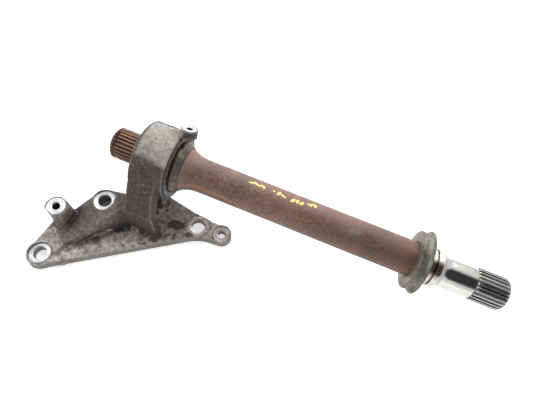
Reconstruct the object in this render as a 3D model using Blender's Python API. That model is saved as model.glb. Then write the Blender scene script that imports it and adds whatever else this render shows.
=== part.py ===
"""Intermediate drive shaft with its support-bearing bracket, as one solid per piece.

Metres, +Z up. The bracket's mounting face lies on Z = 0 and the shaft's axis runs
along +X, towards the polished inboard end.
"""

import math

import bmesh
import bpy
from mathutils import Vector

MM = 0.001

# Where the shaft's axis lies above and behind the mounting face's datum.
AXIS_Y = 50.0 * MM
AXIS_Z = 68.0 * MM

# Bearing, a single-row deep-groove ball bearing for a 40 mm seat, centred on X = 0.
BEARING_BORE_R = 20.0 * MM
BEARING_R = 34.0 * MM
BEARING_WIDTH = 15.0 * MM
BEARING_HALF = BEARING_WIDTH / 2.0
BALL_PITCH_R = (BEARING_BORE_R + BEARING_R) / 2.0
BALL_R = 3.97 * MM
BALL_COUNT = 12
GROOVE_R = BALL_R + 0.15 * MM
LAND_OFFSET = 2.6 * MM
INNER_LAND_R = BALL_PITCH_R - LAND_OFFSET
OUTER_LAND_R = BALL_PITCH_R + LAND_OFFSET
CIRCLIP_GROOVE_DEPTH = 1.6 * MM

# Bearing housing, with room for a seal at each side of the bearing.
HOUSING_WALL = 6.0 * MM
HOUSING_R = BEARING_R + HOUSING_WALL
HOUSING_LEFT_X = -BEARING_HALF - 12.0 * MM
HOUSING_RIGHT_X = BEARING_HALF + 12.8 * MM
HOUSING_BEVEL = 3.0 * MM
OUTBOARD_SEAL_R = BEARING_R - 4.0 * MM
SHOULDER_BORE_R = BEARING_R - 5.7 * MM

# Shaft.
SHAFT_OUTBOARD_X = -56.5 * MM
SHAFT_INBOARD_X = 396.5 * MM
SHOULDER_R = BEARING_BORE_R + 3.0 * MM
TUBE_R = 19.45 * MM
TUBE_WALL = 3.4 * MM
TUBE_BORE_R = TUBE_R - TUBE_WALL
TUBE_START_X = HOUSING_RIGHT_X + 11.7 * MM
TUBE_END_X = 299.5 * MM
FLARE_R = TUBE_R + 5.55 * MM
FLARE_WALL = 4.0 * MM
SPIGOT_LENGTH = 40.0 * MM
SPLINE_TEETH = 26
OUTBOARD_SPLINE_R = 18.0 * MM
INBOARD_SPLINE_R = 18.15 * MM
TOOTH_DEPTH = 1.6 * MM
JOURNAL_R = 17.6 * MM
COLLAR_R = 20.9 * MM
SHIELD_R = 35.6 * MM
SEAL_SEAT_R = OUTBOARD_SPLINE_R + 0.5 * MM

# Bracket.
PLATE_TOP_Z = 11.0 * MM
SPOT_FACE_Z = PLATE_TOP_Z - 1.0 * MM
BOLT_HOLE_R = 7.2 * MM
WEB_TOP_Z = 48.0 * MM
RAMP_FACE_Z = 30.0 * MM
POST_FACE_Z = 42.0 * MM
EAR_R = HOUSING_R + 9.5 * MM
EAR_X = HOUSING_RIGHT_X + 5.2 * MM
EAR_ANGLE = math.radians(29.0)

FIT_GAP = 0.3 * MM
SIDES = 40
EPS = 0.05 * MM


def clear_scene():
    """Remove every object the file starts with."""
    for obj in list(bpy.data.objects):
        bpy.data.objects.remove(obj, do_unlink=True)


def make_material(name, colour, metallic, roughness):
    """Return a Principled material."""
    material = bpy.data.materials.new(name)
    material.use_nodes = True
    shader = material.node_tree.nodes["Principled BSDF"]
    shader.inputs["Base Color"].default_value = (*colour, 1.0)
    shader.inputs["Metallic"].default_value = metallic
    shader.inputs["Roughness"].default_value = roughness
    return material


def add_object(name, bm, colour=(0.5, 0.5, 0.5), metallic=0.0, roughness=0.5):
    """Turn a bmesh into a linked object with its own material."""
    bmesh.ops.recalc_face_normals(bm, faces=bm.faces)
    mesh = bpy.data.meshes.new(name)
    bm.to_mesh(mesh)
    bm.free()
    obj = bpy.data.objects.new(name, mesh)
    bpy.context.scene.collection.objects.link(obj)
    mesh.materials.append(make_material(name, colour, metallic, roughness))
    return obj


# Round pieces: rings of points about the shaft's axis.


def ring(bm, x, radii, angles):
    """Add one ring of vertices at x, with one radius and one angle per vertex."""
    return [
        bm.verts.new((x, AXIS_Y + r * math.sin(a), AXIS_Z + r * math.cos(a)))
        for r, a in zip(radii, angles)
    ]


def even_angles(count, shift=0.0):
    """Return count equal steps round a circle."""
    return [2.0 * math.pi * (i + shift) / count for i in range(count)]


def bridge(bm, first, second):
    """Join two rings: equal counts by quads, a double count to a single one by triangles."""
    if len(first) < len(second):
        first, second = second, first
    n = len(second)
    if len(first) == n:
        for i in range(n):
            j = (i + 1) % n
            bm.faces.new((first[i], first[j], second[j], second[i]))
        return
    for i in range(n):
        a, b, c = first[2 * i], first[2 * i + 1], first[(2 * i + 2) % (2 * n)]
        p, q = second[i], second[(i + 1) % n]
        bm.faces.new((a, b, p))
        bm.faces.new((b, c, q))
        bm.faces.new((b, q, p))


def turned_ring(name, profile, look, sides=SIDES):
    """Revolve a closed profile of (x, r) points into a ring."""
    bm = bmesh.new()
    angles = even_angles(sides)
    rings = [ring(bm, x, [r] * sides, angles) for x, r in profile]
    for first, second in zip(rings, rings[1:] + rings[:1]):
        bridge(bm, first, second)
    return add_object(name, bm, *look)


def split_ring(name, x0, x1, r0, r1, gap_angle, look, lug=0.0, sides=36):
    """Make an open spring ring of rectangular section, with lugs at its two ends."""
    bm = bmesh.new()
    start = gap_angle / 2.0
    step = (2.0 * math.pi - gap_angle) / sides
    sections = []
    for i in range(sides + 1):
        a = start + i * step
        inner = r0 - lug if i < 2 or i > sides - 2 else r0
        corners = ((x0, inner), (x1, inner), (x1, r1), (x0, r1))
        sections.append(
            [bm.verts.new((x, AXIS_Y + r * math.sin(a), AXIS_Z + r * math.cos(a))) for x, r in corners]
        )
    for first, second in zip(sections, sections[1:]):
        bridge(bm, first, second)
    bm.faces.new(sections[0])
    bm.faces.new(sections[-1])
    return add_object(name, bm, *look)


def tooth_angles():
    """Return the angles of four points per tooth: two on the root and two on the tip."""
    pitch = 2.0 * math.pi / SPLINE_TEETH
    return [pitch * (tooth + part) for tooth in range(SPLINE_TEETH) for part in (0.0, 0.36, 0.52, 0.84)]


def tooth_radii(tip_r):
    """Return the matching radii."""
    return [tip_r - TOOTH_DEPTH, tip_r - TOOTH_DEPTH, tip_r, tip_r] * SPLINE_TEETH


def solid_shaft(name, stations, look, drill=3.5 * MM):
    """Make a solid shaft from stations (x, r, toothed), with a centre-drilled cone at each end."""
    bm = bmesh.new()
    fine = tooth_angles()
    coarse = [(fine[i] + fine[i + 1]) / 2.0 for i in range(0, len(fine), 2)]
    rings = []
    for x, r, toothed in stations:
        if toothed:
            rings.append(ring(bm, x, tooth_radii(r), fine))
        else:
            rings.append(ring(bm, x, [r] * len(coarse), coarse))
    for first, second in zip(rings, rings[1:]):
        bridge(bm, first, second)
    for end, inward in ((0, 1.0), (-1, -1.0)):
        x = stations[end][0]
        mouth = ring(bm, x, [drill] * len(coarse), coarse)
        bridge(bm, rings[end], mouth)
        tip = bm.verts.new((x + inward * drill, AXIS_Y, AXIS_Z))
        for i, vert in enumerate(mouth):
            bm.faces.new((vert, mouth[(i + 1) % len(mouth)], tip))
    return add_object(name, bm, *look)


def ball(name, angle, look):
    """Make one ball of the bearing at its place on the pitch circle."""
    bm = bmesh.new()
    centre = Vector((0.0, AXIS_Y + BALL_PITCH_R * math.sin(angle), AXIS_Z + BALL_PITCH_R * math.cos(angle)))
    bmesh.ops.create_uvsphere(bm, u_segments=10, v_segments=6, radius=BALL_R)
    bmesh.ops.translate(bm, vec=centre, verts=bm.verts)
    return add_object(name, bm, *look)


# Casting blanks and cutters.


def hull(points):
    """Return a bmesh of the convex hull of some points."""
    bm = bmesh.new()
    for point in points:
        bm.verts.new(point)
    bmesh.ops.remove_doubles(bm, verts=bm.verts, dist=1e-6)
    result = bmesh.ops.convex_hull(bm, input=bm.verts)
    loose = [v for v in result["geom_interior"] + result["geom_unused"] if isinstance(v, bmesh.types.BMVert)]
    bmesh.ops.delete(bm, geom=list(set(loose)), context="VERTS")
    flat = math.radians(0.5)
    bmesh.ops.dissolve_limit(bm, angle_limit=flat, verts=bm.verts, edges=bm.edges)
    return bm


def disc(centre, radius, z, sides=32):
    """Return points on a circle that lies flat at height z."""
    return [
        (centre[0] + radius * math.cos(a), centre[1] + radius * math.sin(a), z) for a in even_angles(sides)
    ]


def post(centre, radius, z0, z1, sides=32):
    """Return an upright cylinder."""
    return hull(disc(centre, radius, z0, sides) + disc(centre, radius, z1, sides))


def barrel(x0, x1, radius, sides=64, start=None):
    """Return a cylinder about the shaft's axis, or a drum that starts at another radius."""
    points = []
    for x, r in ((x0, start or radius), (x1, radius)):
        points += [(x, AXIS_Y + r * math.sin(a), AXIS_Z + r * math.cos(a)) for a in even_angles(sides, 0.5)]
    return hull(points)


def housing_arc(x, radius, low, high, steps=8):
    """Return points on the housing's circle between two angles from straight up, towards the front."""
    points = []
    for i in range(steps + 1):
        a = math.radians(low + (high - low) * i / steps)
        points.append((x, AXIS_Y - radius * math.sin(a), AXIS_Z + radius * math.cos(a)))
    return points


def slanted(x, tilt, near, far, radius, sides=24):
    """Return a cylinder that stands out radially from the axis, tilted back from straight up."""
    out = Vector((0.0, math.sin(tilt), math.cos(tilt)))
    side = Vector((0.0, math.cos(tilt), -math.sin(tilt)))
    along = Vector((1.0, 0.0, 0.0))
    centre = Vector((x, AXIS_Y, AXIS_Z))
    return [
        centre + out * reach + (along * math.cos(a) + side * math.sin(a)) * radius
        for reach in (near, far)
        for a in even_angles(sides)
    ]


def combine(target, tool_bm, operation):
    """Apply one exact boolean of a tool to the target object."""
    tool = add_object("tool", tool_bm)
    modifier = target.modifiers.new("join", "BOOLEAN")
    modifier.operation = operation
    modifier.solver = "EXACT"
    modifier.object = tool
    graph = bpy.context.evaluated_depsgraph_get()
    mesh = bpy.data.meshes.new_from_object(target.evaluated_get(graph))
    target.modifiers.remove(modifier)
    old = target.data
    target.data = mesh
    bpy.data.meshes.remove(old)
    tool_mesh = tool.data
    bpy.data.objects.remove(tool, do_unlink=True)
    bpy.data.meshes.remove(tool_mesh)


def tidy(obj):
    """Weld slivers left by the booleans and flatten coplanar faces."""
    bm = bmesh.new()
    bm.from_mesh(obj.data)
    bmesh.ops.remove_doubles(bm, verts=bm.verts, dist=0.01 * MM)
    bmesh.ops.dissolve_degenerate(bm, edges=bm.edges, dist=0.005 * MM)
    bmesh.ops.triangulate(bm, faces=[f for f in bm.faces if len(f.verts) > 4])
    bmesh.ops.recalc_face_normals(bm, faces=bm.faces)
    bm.to_mesh(obj.data)
    bm.free()


# Bracket.

HOLE_LEFT = (-86.3 * MM, -86.6 * MM)
HOLE_RIGHT = (59.3 * MM, 14.5 * MM)
HOLE_RAMP = (-48.2 * MM, -7.5 * MM)
HOLE_SMALL = (89.6 * MM, 16.2 * MM)
POST_CENTRE = (-85.8 * MM, -39.3 * MM)
LUG_CENTRE = (-62.0 * MM, -84.0 * MM)


def plate_blank():
    """Return the arms of the flat plate, each the hull of a few round pads."""
    arms = []
    for pads in (
        ((HOLE_LEFT, 15.2), ((-85.8 * MM, -44.0 * MM), 11.0), ((-64.0 * MM, -50.0 * MM), 16.0)),
        (
            (HOLE_LEFT, 15.2),
            (HOLE_RIGHT, 14.0),
            ((20.0 * MM, 17.0 * MM), 17.5),
            ((-24.0 * MM, 0.0), 22.0),
            ((-64.0 * MM, -46.0 * MM), 14.0),
        ),
        ((HOLE_RIGHT, 13.4), (HOLE_SMALL, 12.2)),
    ):
        points = []
        for centre, radius in pads:
            for z in (0.0, PLATE_TOP_Z):
                points += disc(centre, radius * MM, z)
        arms.append(hull(points))
    return arms


def ramp_blank():
    """Return the web that climbs from the plate's left arm to the column, with its tall bolt pad."""
    top = (
        (-89.0, -54.0, 17.0),
        (-69.5, -56.0, 13.5),
        (-64.0, -66.0, 10.8),
        (-44.5, -44.8, 27.0),
        (-30.5, -26.8, 36.0),
        (-13.8, -9.0, 48.0),
        (-17.0, 6.0, 40.0),
        (-30.3, 6.6, 36.0),
    )
    scale = WEB_TOP_Z / (48.0 * MM)
    points = [(x * MM, y * MM, z * MM * scale) for x, y, z in top]
    points += [(x * MM, y * MM, 1.0 * MM) for x, y, _ in top]
    pad = disc(HOLE_RAMP, 15.0 * MM, RAMP_FACE_Z) + disc(HOLE_RAMP, 16.0 * MM, 0.0)
    return [hull(points + pad)]


def post_blank():
    """Return the tall post that carries a small tapped hole, flattened towards the web."""
    x, y = POST_CENTRE
    corners = [(x + 14.0 * MM, y + 8.7 * MM), (x + 10.8 * MM, y - 13.2 * MM)]
    points = disc(POST_CENTRE, 12.6 * MM, POST_FACE_Z) + disc(POST_CENTRE, 13.5 * MM, 0.0)
    for cx, cy in corners:
        points += [(cx, cy, POST_FACE_Z), (cx + 1.0 * MM, cy - 1.0 * MM, 0.0)]
    return hull(points)


def column_blank():
    """Return the column under the housing and the front wall that runs up to it."""
    left = HOUSING_LEFT_X + HOUSING_BEVEL
    column = [(left + 1.0 * MM, -15.0 * MM, 1.0 * MM), (left + 1.0 * MM, 34.0 * MM, 1.0 * MM)]
    column += [(-4.0 * MM, -15.0 * MM, 1.0 * MM), (-4.0 * MM, 34.0 * MM, 1.0 * MM)]
    column += [(left, -13.0 * MM, 44.0 * MM), (-4.0 * MM, -13.0 * MM, 44.0 * MM)]
    for x in (left, -4.0 * MM):
        column += housing_arc(x, HOUSING_R - 0.4 * MM, 70.0, 240.0)
    wall = []
    foot, waist = HOUSING_RIGHT_X - 0.8 * MM, HOUSING_RIGHT_X - 7.3 * MM
    for x, y, z in ((left, -17.0, 1.0), (foot, -17.5, 1.0), (foot, -7.0, 1.0), (left, -6.0, 1.0)):
        wall.append((x, y * MM, z * MM))
    for x, y, z in ((left, -14.0, 45.0), (waist, -14.0, 45.0), (waist, -4.0, 44.0), (left, -4.0, 44.0)):
        wall.append((x, y * MM, z * MM))
    for x in (left, HOUSING_RIGHT_X - 12.3 * MM):
        wall += housing_arc(x, HOUSING_R - 0.4 * MM, 64.0, 110.0, 4)
    return [hull(column), hull(wall)]


def ear_blank():
    """Return the small ear that stands on the housing's inboard end."""
    head = slanted(EAR_X, EAR_ANGLE, EAR_R - 9.0 * MM, EAR_R, 9.4 * MM)
    foot = slanted(EAR_X - 14.5 * MM, EAR_ANGLE, HOUSING_R - 0.9 * MM, HOUSING_R + 1.5 * MM, 9.0 * MM)
    return hull(head + foot)


def circlip_groove():
    """Return where the groove that holds the bearing in its housing starts and ends."""
    return BEARING_HALF + 0.5 * MM, BEARING_HALF + 2.7 * MM


def build_bracket():
    """Cast bracket: plate, web, column, bearing housing and ear, then the machined cuts."""
    arms = plate_blank()
    bracket = add_object("bracket", arms[0], (0.33, 0.32, 0.3), 0.3, 0.7)
    for blank in arms[1:] + ramp_blank() + [post_blank()] + column_blank():
        combine(bracket, blank, "UNION")
    body = HOUSING_LEFT_X + HOUSING_BEVEL
    combine(bracket, barrel(body, HOUSING_RIGHT_X, HOUSING_R), "UNION")
    bevel = barrel(HOUSING_LEFT_X, body + EPS, HOUSING_R - EPS, 64, HOUSING_R - 2.5 * MM)
    combine(bracket, bevel, "UNION")
    combine(bracket, ear_blank(), "UNION")
    combine(bracket, post(LUG_CENTRE, 5.0 * MM, 0.5 * MM, 8.0 * MM, 16), "UNION")

    high = 200.0 * MM
    for centre, radius, floor in (
        (HOLE_LEFT, 11.6 * MM, SPOT_FACE_Z),
        (HOLE_RIGHT, 12.4 * MM, SPOT_FACE_Z),
        (HOLE_SMALL, 10.2 * MM, SPOT_FACE_Z),
    ):
        combine(bracket, post(centre, radius, floor, floor + 6.0 * MM), "DIFFERENCE")
    seat = post(HOLE_RAMP, 12.6 * MM, RAMP_FACE_Z - 0.5 * MM, RAMP_FACE_Z + 14.0 * MM)
    combine(bracket, seat, "DIFFERENCE")
    low = -5.0 * MM
    for centre, radius, top in (
        (HOLE_LEFT, BOLT_HOLE_R, 30.0 * MM),
        (HOLE_RIGHT, BOLT_HOLE_R + 1.0 * MM, 30.0 * MM),
        (HOLE_RAMP, BOLT_HOLE_R, 60.0 * MM),
        (HOLE_SMALL, 4.3 * MM, 30.0 * MM),
    ):
        combine(bracket, post(centre, radius, low, top, 28), "DIFFERENCE")
    tapped = post(POST_CENTRE, 4.0 * MM, POST_FACE_Z - 22.0 * MM, high, 20)
    combine(bracket, tapped, "DIFFERENCE")
    tapped = hull(slanted(EAR_X, EAR_ANGLE, EAR_R - 7.0 * MM, EAR_R + 10.0 * MM, 3.2 * MM, 16))
    combine(bracket, tapped, "DIFFERENCE")

    outside, inside = HOUSING_LEFT_X - 5.0 * MM, HOUSING_RIGHT_X + 40.0 * MM
    bearing_left = -BEARING_HALF - FIT_GAP
    outer = BEARING_R + FIT_GAP
    groove_left, groove_right = circlip_groove()
    for x0, x1, radius, sides in (
        (outside, bearing_left + EPS, SHOULDER_BORE_R, 48),
        (outside, HOUSING_LEFT_X + 7.0 * MM, OUTBOARD_SEAL_R + FIT_GAP, 48),
        (bearing_left, inside, outer, 64),
        (groove_left, groove_right, outer + CIRCLIP_GROOVE_DEPTH, 64),
    ):
        combine(bracket, barrel(x0, x1, radius, sides), "DIFFERENCE")
    tidy(bracket)
    return bracket


# Bearing and seals.

STEEL = ((0.62, 0.62, 0.62), 1.0, 0.28)
DARK_STEEL = ((0.2, 0.19, 0.18), 1.0, 0.45)
BLACK_RUBBER = ((0.02, 0.02, 0.021), 0.0, 0.6)


def groove_points(land_r, sign):
    """Return the (x, r) points of a ball groove, from -x to +x, on a land of the given radius."""
    reach = math.sqrt(GROOVE_R**2 - (land_r - BALL_PITCH_R) ** 2)
    swing = math.asin(reach / GROOVE_R)
    steps = 4
    points = []
    for i in range(steps + 1):
        a = -swing + 2.0 * swing * i / steps
        points.append((GROOVE_R * math.sin(a), BALL_PITCH_R + sign * GROOVE_R * math.cos(a)))
    return points


def build_bearing():
    """Rings, balls, cage and shields of the support bearing."""
    half = BEARING_HALF
    edge = half - 0.6 * MM
    seat = half - 1.7 * MM
    recess = OUTER_LAND_R + 0.9 * MM
    outer = groove_points(OUTER_LAND_R, 1.0)
    outer += [(seat, OUTER_LAND_R), (seat, recess), (half, recess), (half, BEARING_R - 0.6 * MM)]
    outer += [(edge, BEARING_R), (-edge, BEARING_R), (-half, BEARING_R - 0.6 * MM), (-half, recess)]
    outer += [(-seat, recess), (-seat, OUTER_LAND_R)]
    turned_ring("bearing_outer_ring", outer, STEEL)

    inner = groove_points(INNER_LAND_R, -1.0)
    inner += [(half, INNER_LAND_R), (half, BEARING_BORE_R + 0.6 * MM), (edge, BEARING_BORE_R)]
    inner += [(-edge, BEARING_BORE_R), (-half, BEARING_BORE_R + 0.6 * MM), (-half, INNER_LAND_R)]
    turned_ring("bearing_inner_ring", inner, STEEL)

    for index, angle in enumerate(even_angles(BALL_COUNT)):
        ball(f"ball_{index + 1:02d}", angle, STEEL)

    cage_half = half - 2.3 * MM
    low, high = BALL_PITCH_R - 1.7 * MM, BALL_PITCH_R + 1.6 * MM
    profile = [(-cage_half, low), (cage_half, low), (cage_half, high), (-cage_half, high)]
    # 50 sides do not divide by the pockets, so no two pockets meet the sides the same way.
    cage = turned_ring("bearing_cage", profile, ((0.45, 0.33, 0.12), 0.0, 0.5), 50)
    for angle in even_angles(BALL_COUNT):
        pocket = slanted(0.0, angle, BEARING_BORE_R, BEARING_R, BALL_R + FIT_GAP, 14)
        combine(cage, hull(pocket), "DIFFERENCE")

    near, far = seat + FIT_GAP, half - 0.6 * MM
    low, high = INNER_LAND_R + 0.4 * MM, recess - FIT_GAP
    shield = [(near, low), (far, low), (far, high), (near, high)]
    turned_ring("bearing_shield_inboard", shield, DARK_STEEL, 40)
    turned_ring("bearing_shield_outboard", [(-x, r) for x, r in shield], DARK_STEEL, 40)
    left, right = circlip_groove()
    split_ring(
        "housing_circlip",
        left + 0.2 * MM,
        right - 0.2 * MM,
        BEARING_R - 2.6 * MM,
        BEARING_R + CIRCLIP_GROOVE_DEPTH,
        math.radians(16.0),
        DARK_STEEL,
        2.2 * MM,
    )


def offset_ring(name, x0, profile, look, sides=SIDES):
    """Revolve a closed profile whose x is in millimetres from x0."""
    return turned_ring(name, [(x0 + x * MM, r) for x, r in profile], look, sides)


def build_seals():
    """Both housing seals: a pressed steel case and a rubber lip each."""
    x0 = HOUSING_LEFT_X
    outer, shell = OUTBOARD_SEAL_R, OUTBOARD_SEAL_R - 1.0 * MM
    eye = SEAL_SEAT_R + 3.5 * MM
    case = [(0.5, shell), (5.5, shell), (5.5, eye), (6.5, eye), (6.5, outer), (0.5, outer)]
    offset_ring("outboard_seal_case", x0, case, DARK_STEEL, 40)
    edge, foot, rim = SEAL_SEAT_R + 0.35 * MM, SEAL_SEAT_R + 2.5 * MM, shell - FIT_GAP
    lip = [(0.8, SEAL_SEAT_R + 3.0 * MM), (2.3, SEAL_SEAT_R + 3.0 * MM), (2.9, edge), (4.1, edge)]
    lip += [(5.2, foot), (5.2, rim), (0.8, rim)]
    offset_ring("outboard_seal_lip", x0, lip, BLACK_RUBBER, 40)

    flange = HOUSING_RIGHT_X + FIT_GAP
    back = BEARING_HALF + 4.0 * MM
    front = HOUSING_RIGHT_X - FIT_GAP
    outer, shell = BEARING_R, BEARING_R - 1.0 * MM
    eye = SHOULDER_R + 3.0 * MM
    case = [(back, eye), (back + 1.1 * MM, eye), (back + 1.1 * MM, shell), (front, shell)]
    case += [(front, outer), (back, outer)]
    turned_ring("inboard_seal_case", case, DARK_STEEL, 40)
    lip_x = back + 1.5 * MM
    rim, edge = shell - 0.4 * MM, SHOULDER_R + 0.35 * MM
    lip = [(lip_x, edge), (lip_x + 1.2 * MM, edge), (lip_x + 3.0 * MM, eye), (flange + 1.8 * MM, eye)]
    lip += [(flange + 1.8 * MM, HOUSING_R - 2.4 * MM), (flange + 1.2 * MM, HOUSING_R - 1.7 * MM)]
    lip += [(flange, HOUSING_R - 1.7 * MM), (flange, rim), (lip_x, rim)]
    turned_ring("inboard_seal_lip", lip, BLACK_RUBBER, 48)


# Shaft.


def build_shaft():
    """Splined stubs, tube, rings and shield that turn together."""
    rust = ((0.3, 0.13, 0.06), 0.5, 0.6)
    bright = ((0.7, 0.69, 0.67), 1.0, 0.22)
    zinc = ((0.42, 0.41, 0.35), 0.8, 0.45)
    x0 = SHAFT_OUTBOARD_X
    spline = OUTBOARD_SPLINE_R
    root = spline - TOOTH_DEPTH - 0.5 * MM
    seat = BEARING_BORE_R - FIT_GAP
    spigot = TUBE_BORE_R - 0.35 * MM
    shoulder = BEARING_HALF + FIT_GAP
    seal_seat = -BEARING_HALF - 6.0 * MM
    groove_left, groove_right = -BEARING_HALF - 3.4 * MM, -BEARING_HALF - 1.3 * MM
    stations = [
        (x0, root, False),
        (x0 + 1.8 * MM, spline, True),
        (x0 + 4.0 * MM, spline, True),
        (x0 + 4.3 * MM, root, False),
        (x0 + 6.5 * MM, root, False),
        (x0 + 6.8 * MM, spline, True),
        (HOUSING_LEFT_X - 6.5 * MM, spline, True),
        (HOUSING_LEFT_X - 4.5 * MM, SEAL_SEAT_R, False),
        (seal_seat, SEAL_SEAT_R, False),
        (seal_seat + 0.7 * MM, seat, False),
        (groove_left, seat, False),
        (groove_left, seat - 1.4 * MM, False),
        (groove_right, seat - 1.4 * MM, False),
        (groove_right, seat, False),
        (shoulder, seat, False),
        (shoulder, SHOULDER_R, False),
        (TUBE_START_X - FIT_GAP, SHOULDER_R, False),
        (TUBE_START_X - FIT_GAP, FLARE_R - FLARE_WALL - 0.4 * MM, False),
        (TUBE_START_X + 20.0 * MM, spigot, False),
        (TUBE_START_X + SPIGOT_LENGTH, spigot, False),
    ]
    solid_shaft("outboard_stub", stations, rust)

    flare = FLARE_R - TUBE_R
    outer = [(0.0, 1.0), (2.2, 0.86), (6.6, 0.53), (11.2, 0.26), (15.7, 0.09), (20.5, 0.0)]
    profile = [(TUBE_START_X + dx * MM, TUBE_R + flare * part) for dx, part in outer]
    profile += [(TUBE_END_X, TUBE_R), (TUBE_END_X, TUBE_BORE_R)]
    profile += [(TUBE_START_X + 20.3 * MM, TUBE_BORE_R), (TUBE_START_X, FLARE_R - FLARE_WALL)]
    turned_ring("shaft_tube", profile, rust)

    x1 = SHAFT_INBOARD_X
    spline = INBOARD_SPLINE_R
    root = spline - TOOTH_DEPTH - 0.5 * MM
    collar = TUBE_END_X + FIT_GAP
    stations = [
        (TUBE_END_X - SPIGOT_LENGTH, spigot, False),
        (collar, spigot, False),
        (collar, COLLAR_R, False),
        (collar + 10.0 * MM, COLLAR_R, False),
        (collar + 10.0 * MM, COLLAR_R - 1.3 * MM, False),
        (collar + 12.2 * MM, COLLAR_R - 1.3 * MM, False),
        (collar + 12.2 * MM, COLLAR_R, False),
        (collar + 16.0 * MM, COLLAR_R, False),
        (collar + 16.0 * MM, COLLAR_R - 1.3 * MM, False),
        (collar + 18.0 * MM, COLLAR_R - 1.3 * MM, False),
        (collar + 18.0 * MM, COLLAR_R, False),
        (collar + 24.2 * MM, COLLAR_R, False),
        (collar + 27.6 * MM, JOURNAL_R, False),
        (x1 - 34.6 * MM, JOURNAL_R, False),
        (x1 - 34.0 * MM, root, False),
        (x1 - 33.4 * MM, root, False),
        (x1 - 32.8 * MM, spline, True),
        (x1 - 2.4 * MM, spline, True),
        (x1, root, False),
    ]
    solid_shaft("inboard_stub", stations, bright)

    end = collar - 4.0 * MM
    shield = [
        (0.0, TUBE_R + 0.45 * MM),
        (0.0, SHIELD_R - 4.0 * MM),
        (1.0 * MM, SHIELD_R - 2.8 * MM),
        (2.8 * MM, SHIELD_R - 2.8 * MM),
        (4.4 * MM, SHIELD_R - 3.4 * MM),
        (8.7 * MM, SHIELD_R - 2.6 * MM),
        (10.5 * MM, SHIELD_R),
        (11.4 * MM, SHIELD_R),
        (11.4 * MM, SHIELD_R - 1.4 * MM),
        (9.4 * MM, SHIELD_R - 4.2 * MM),
        (2.2 * MM, SHIELD_R - 4.8 * MM),
        (2.2 * MM, TUBE_R + 0.45 * MM),
    ]
    turned_ring("dust_shield", [(end + x, r) for x, r in shield], zinc)
    bore, low = SHOULDER_R + FIT_GAP, SHOULDER_R + 2.4 * MM
    middle, high = SHOULDER_R + 5.4 * MM, SHOULDER_R + 7.2 * MM
    slinger = [(0.0, bore), (8.5, bore), (8.5, low), (4.2, middle), (2.2, high), (0.0, high)]
    stained = ((0.45, 0.42, 0.35), 0.9, 0.4)
    offset_ring("slinger_ring", HOUSING_RIGHT_X + 2.7 * MM, slinger, stained)
    split_ring(
        "shaft_circlip",
        groove_left + 0.2 * MM,
        groove_right - 0.2 * MM,
        seat - 1.1 * MM,
        BEARING_BORE_R + LAND_OFFSET,
        math.radians(20.0),
        DARK_STEEL,
    )
    groove = x0 + 4.6 * MM
    ring_r = OUTBOARD_SPLINE_R - TOOTH_DEPTH - 0.2 * MM
    split_ring(
        "spline_stop_ring",
        groove,
        groove + 1.6 * MM,
        ring_r,
        ring_r + 1.3 * MM,
        math.radians(24.0),
        DARK_STEEL,
    )


def main():
    """Build every piece."""
    clear_scene()
    build_bracket()
    build_bearing()
    build_seals()
    build_shaft()


main()
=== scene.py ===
"""Looks of an intermediate drive shaft and its support-bearing bracket.

Every piece is worked out in millimetres in the row frame and scaled to metres when its
mesh is made. The shaft's axis runs along +X at AXIS_Y, AXIS_Z.
"""
import logging
import math
from dataclasses import dataclass
from enum import Enum
from typing import Any

import bpy
import numpy as np
from mathutils import Matrix, Vector


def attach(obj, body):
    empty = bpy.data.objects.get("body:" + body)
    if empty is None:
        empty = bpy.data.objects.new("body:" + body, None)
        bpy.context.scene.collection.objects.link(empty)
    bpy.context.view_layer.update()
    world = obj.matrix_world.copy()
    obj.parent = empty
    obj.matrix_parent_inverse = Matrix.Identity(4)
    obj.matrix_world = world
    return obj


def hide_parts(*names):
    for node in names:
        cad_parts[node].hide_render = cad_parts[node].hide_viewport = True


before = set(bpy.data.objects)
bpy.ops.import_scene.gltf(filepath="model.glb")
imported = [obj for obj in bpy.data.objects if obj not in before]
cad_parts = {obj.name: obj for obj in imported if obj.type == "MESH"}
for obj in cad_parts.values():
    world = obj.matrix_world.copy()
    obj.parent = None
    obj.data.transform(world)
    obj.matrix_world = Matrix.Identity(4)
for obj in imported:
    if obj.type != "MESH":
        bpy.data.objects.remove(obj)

LOG = logging.getLogger("shaft")
Array = np.ndarray
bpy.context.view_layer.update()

MM = 0.001
AXIS_Y = 50.0
AXIS_Z = 68.0
TEETH = 26
TUBE_RADIUS = 19.45


class Body(Enum):
    """The moving bodies that a piece can ride on."""

    BRACKET = "bracket_body"
    SHAFT = "shaft_body"
    CAGE = "cage_body"


# Meshes


def grid_faces(rows: int, columns: int, wrap_rows: bool) -> Array:
    """List the quads of a grid numbered row by row, each row joined into a ring.

    Args:
        rows: Number of rows of vertices.
        columns: Number of vertices in a row.
        wrap_rows: Whether the last row joins the first.

    Returns:
        One row of four vertex numbers per quad.
    """
    i = np.arange(rows if wrap_rows else rows - 1)[:, None]
    j = np.arange(columns)[None, :]
    up, right = (i + 1) % rows, (j + 1) % columns
    quads = np.stack(
        [i * columns + j, i * columns + right, up * columns + right, up * columns + j], axis=-1
    )
    return quads.reshape(-1, 4)


def outward(points: Array, quads: Array) -> Array:
    """Turn the faces of a closed surface outwards.

    Args:
        points: Vertex positions.
        quads: Faces as vertex numbers.

    Returns:
        The faces, reversed if the volume they enclose came out negative. The volume is a
        sixth of the sum of each half quad's triple product.
    """
    a, b, c, d = (points[quads[:, k]] for k in range(4))
    volume = np.einsum("ij,ij->i", a, np.cross(b, c)) + np.einsum("ij,ij->i", a, np.cross(c, d))
    return quads if volume.sum() >= 0.0 else quads[:, ::-1]


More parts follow.
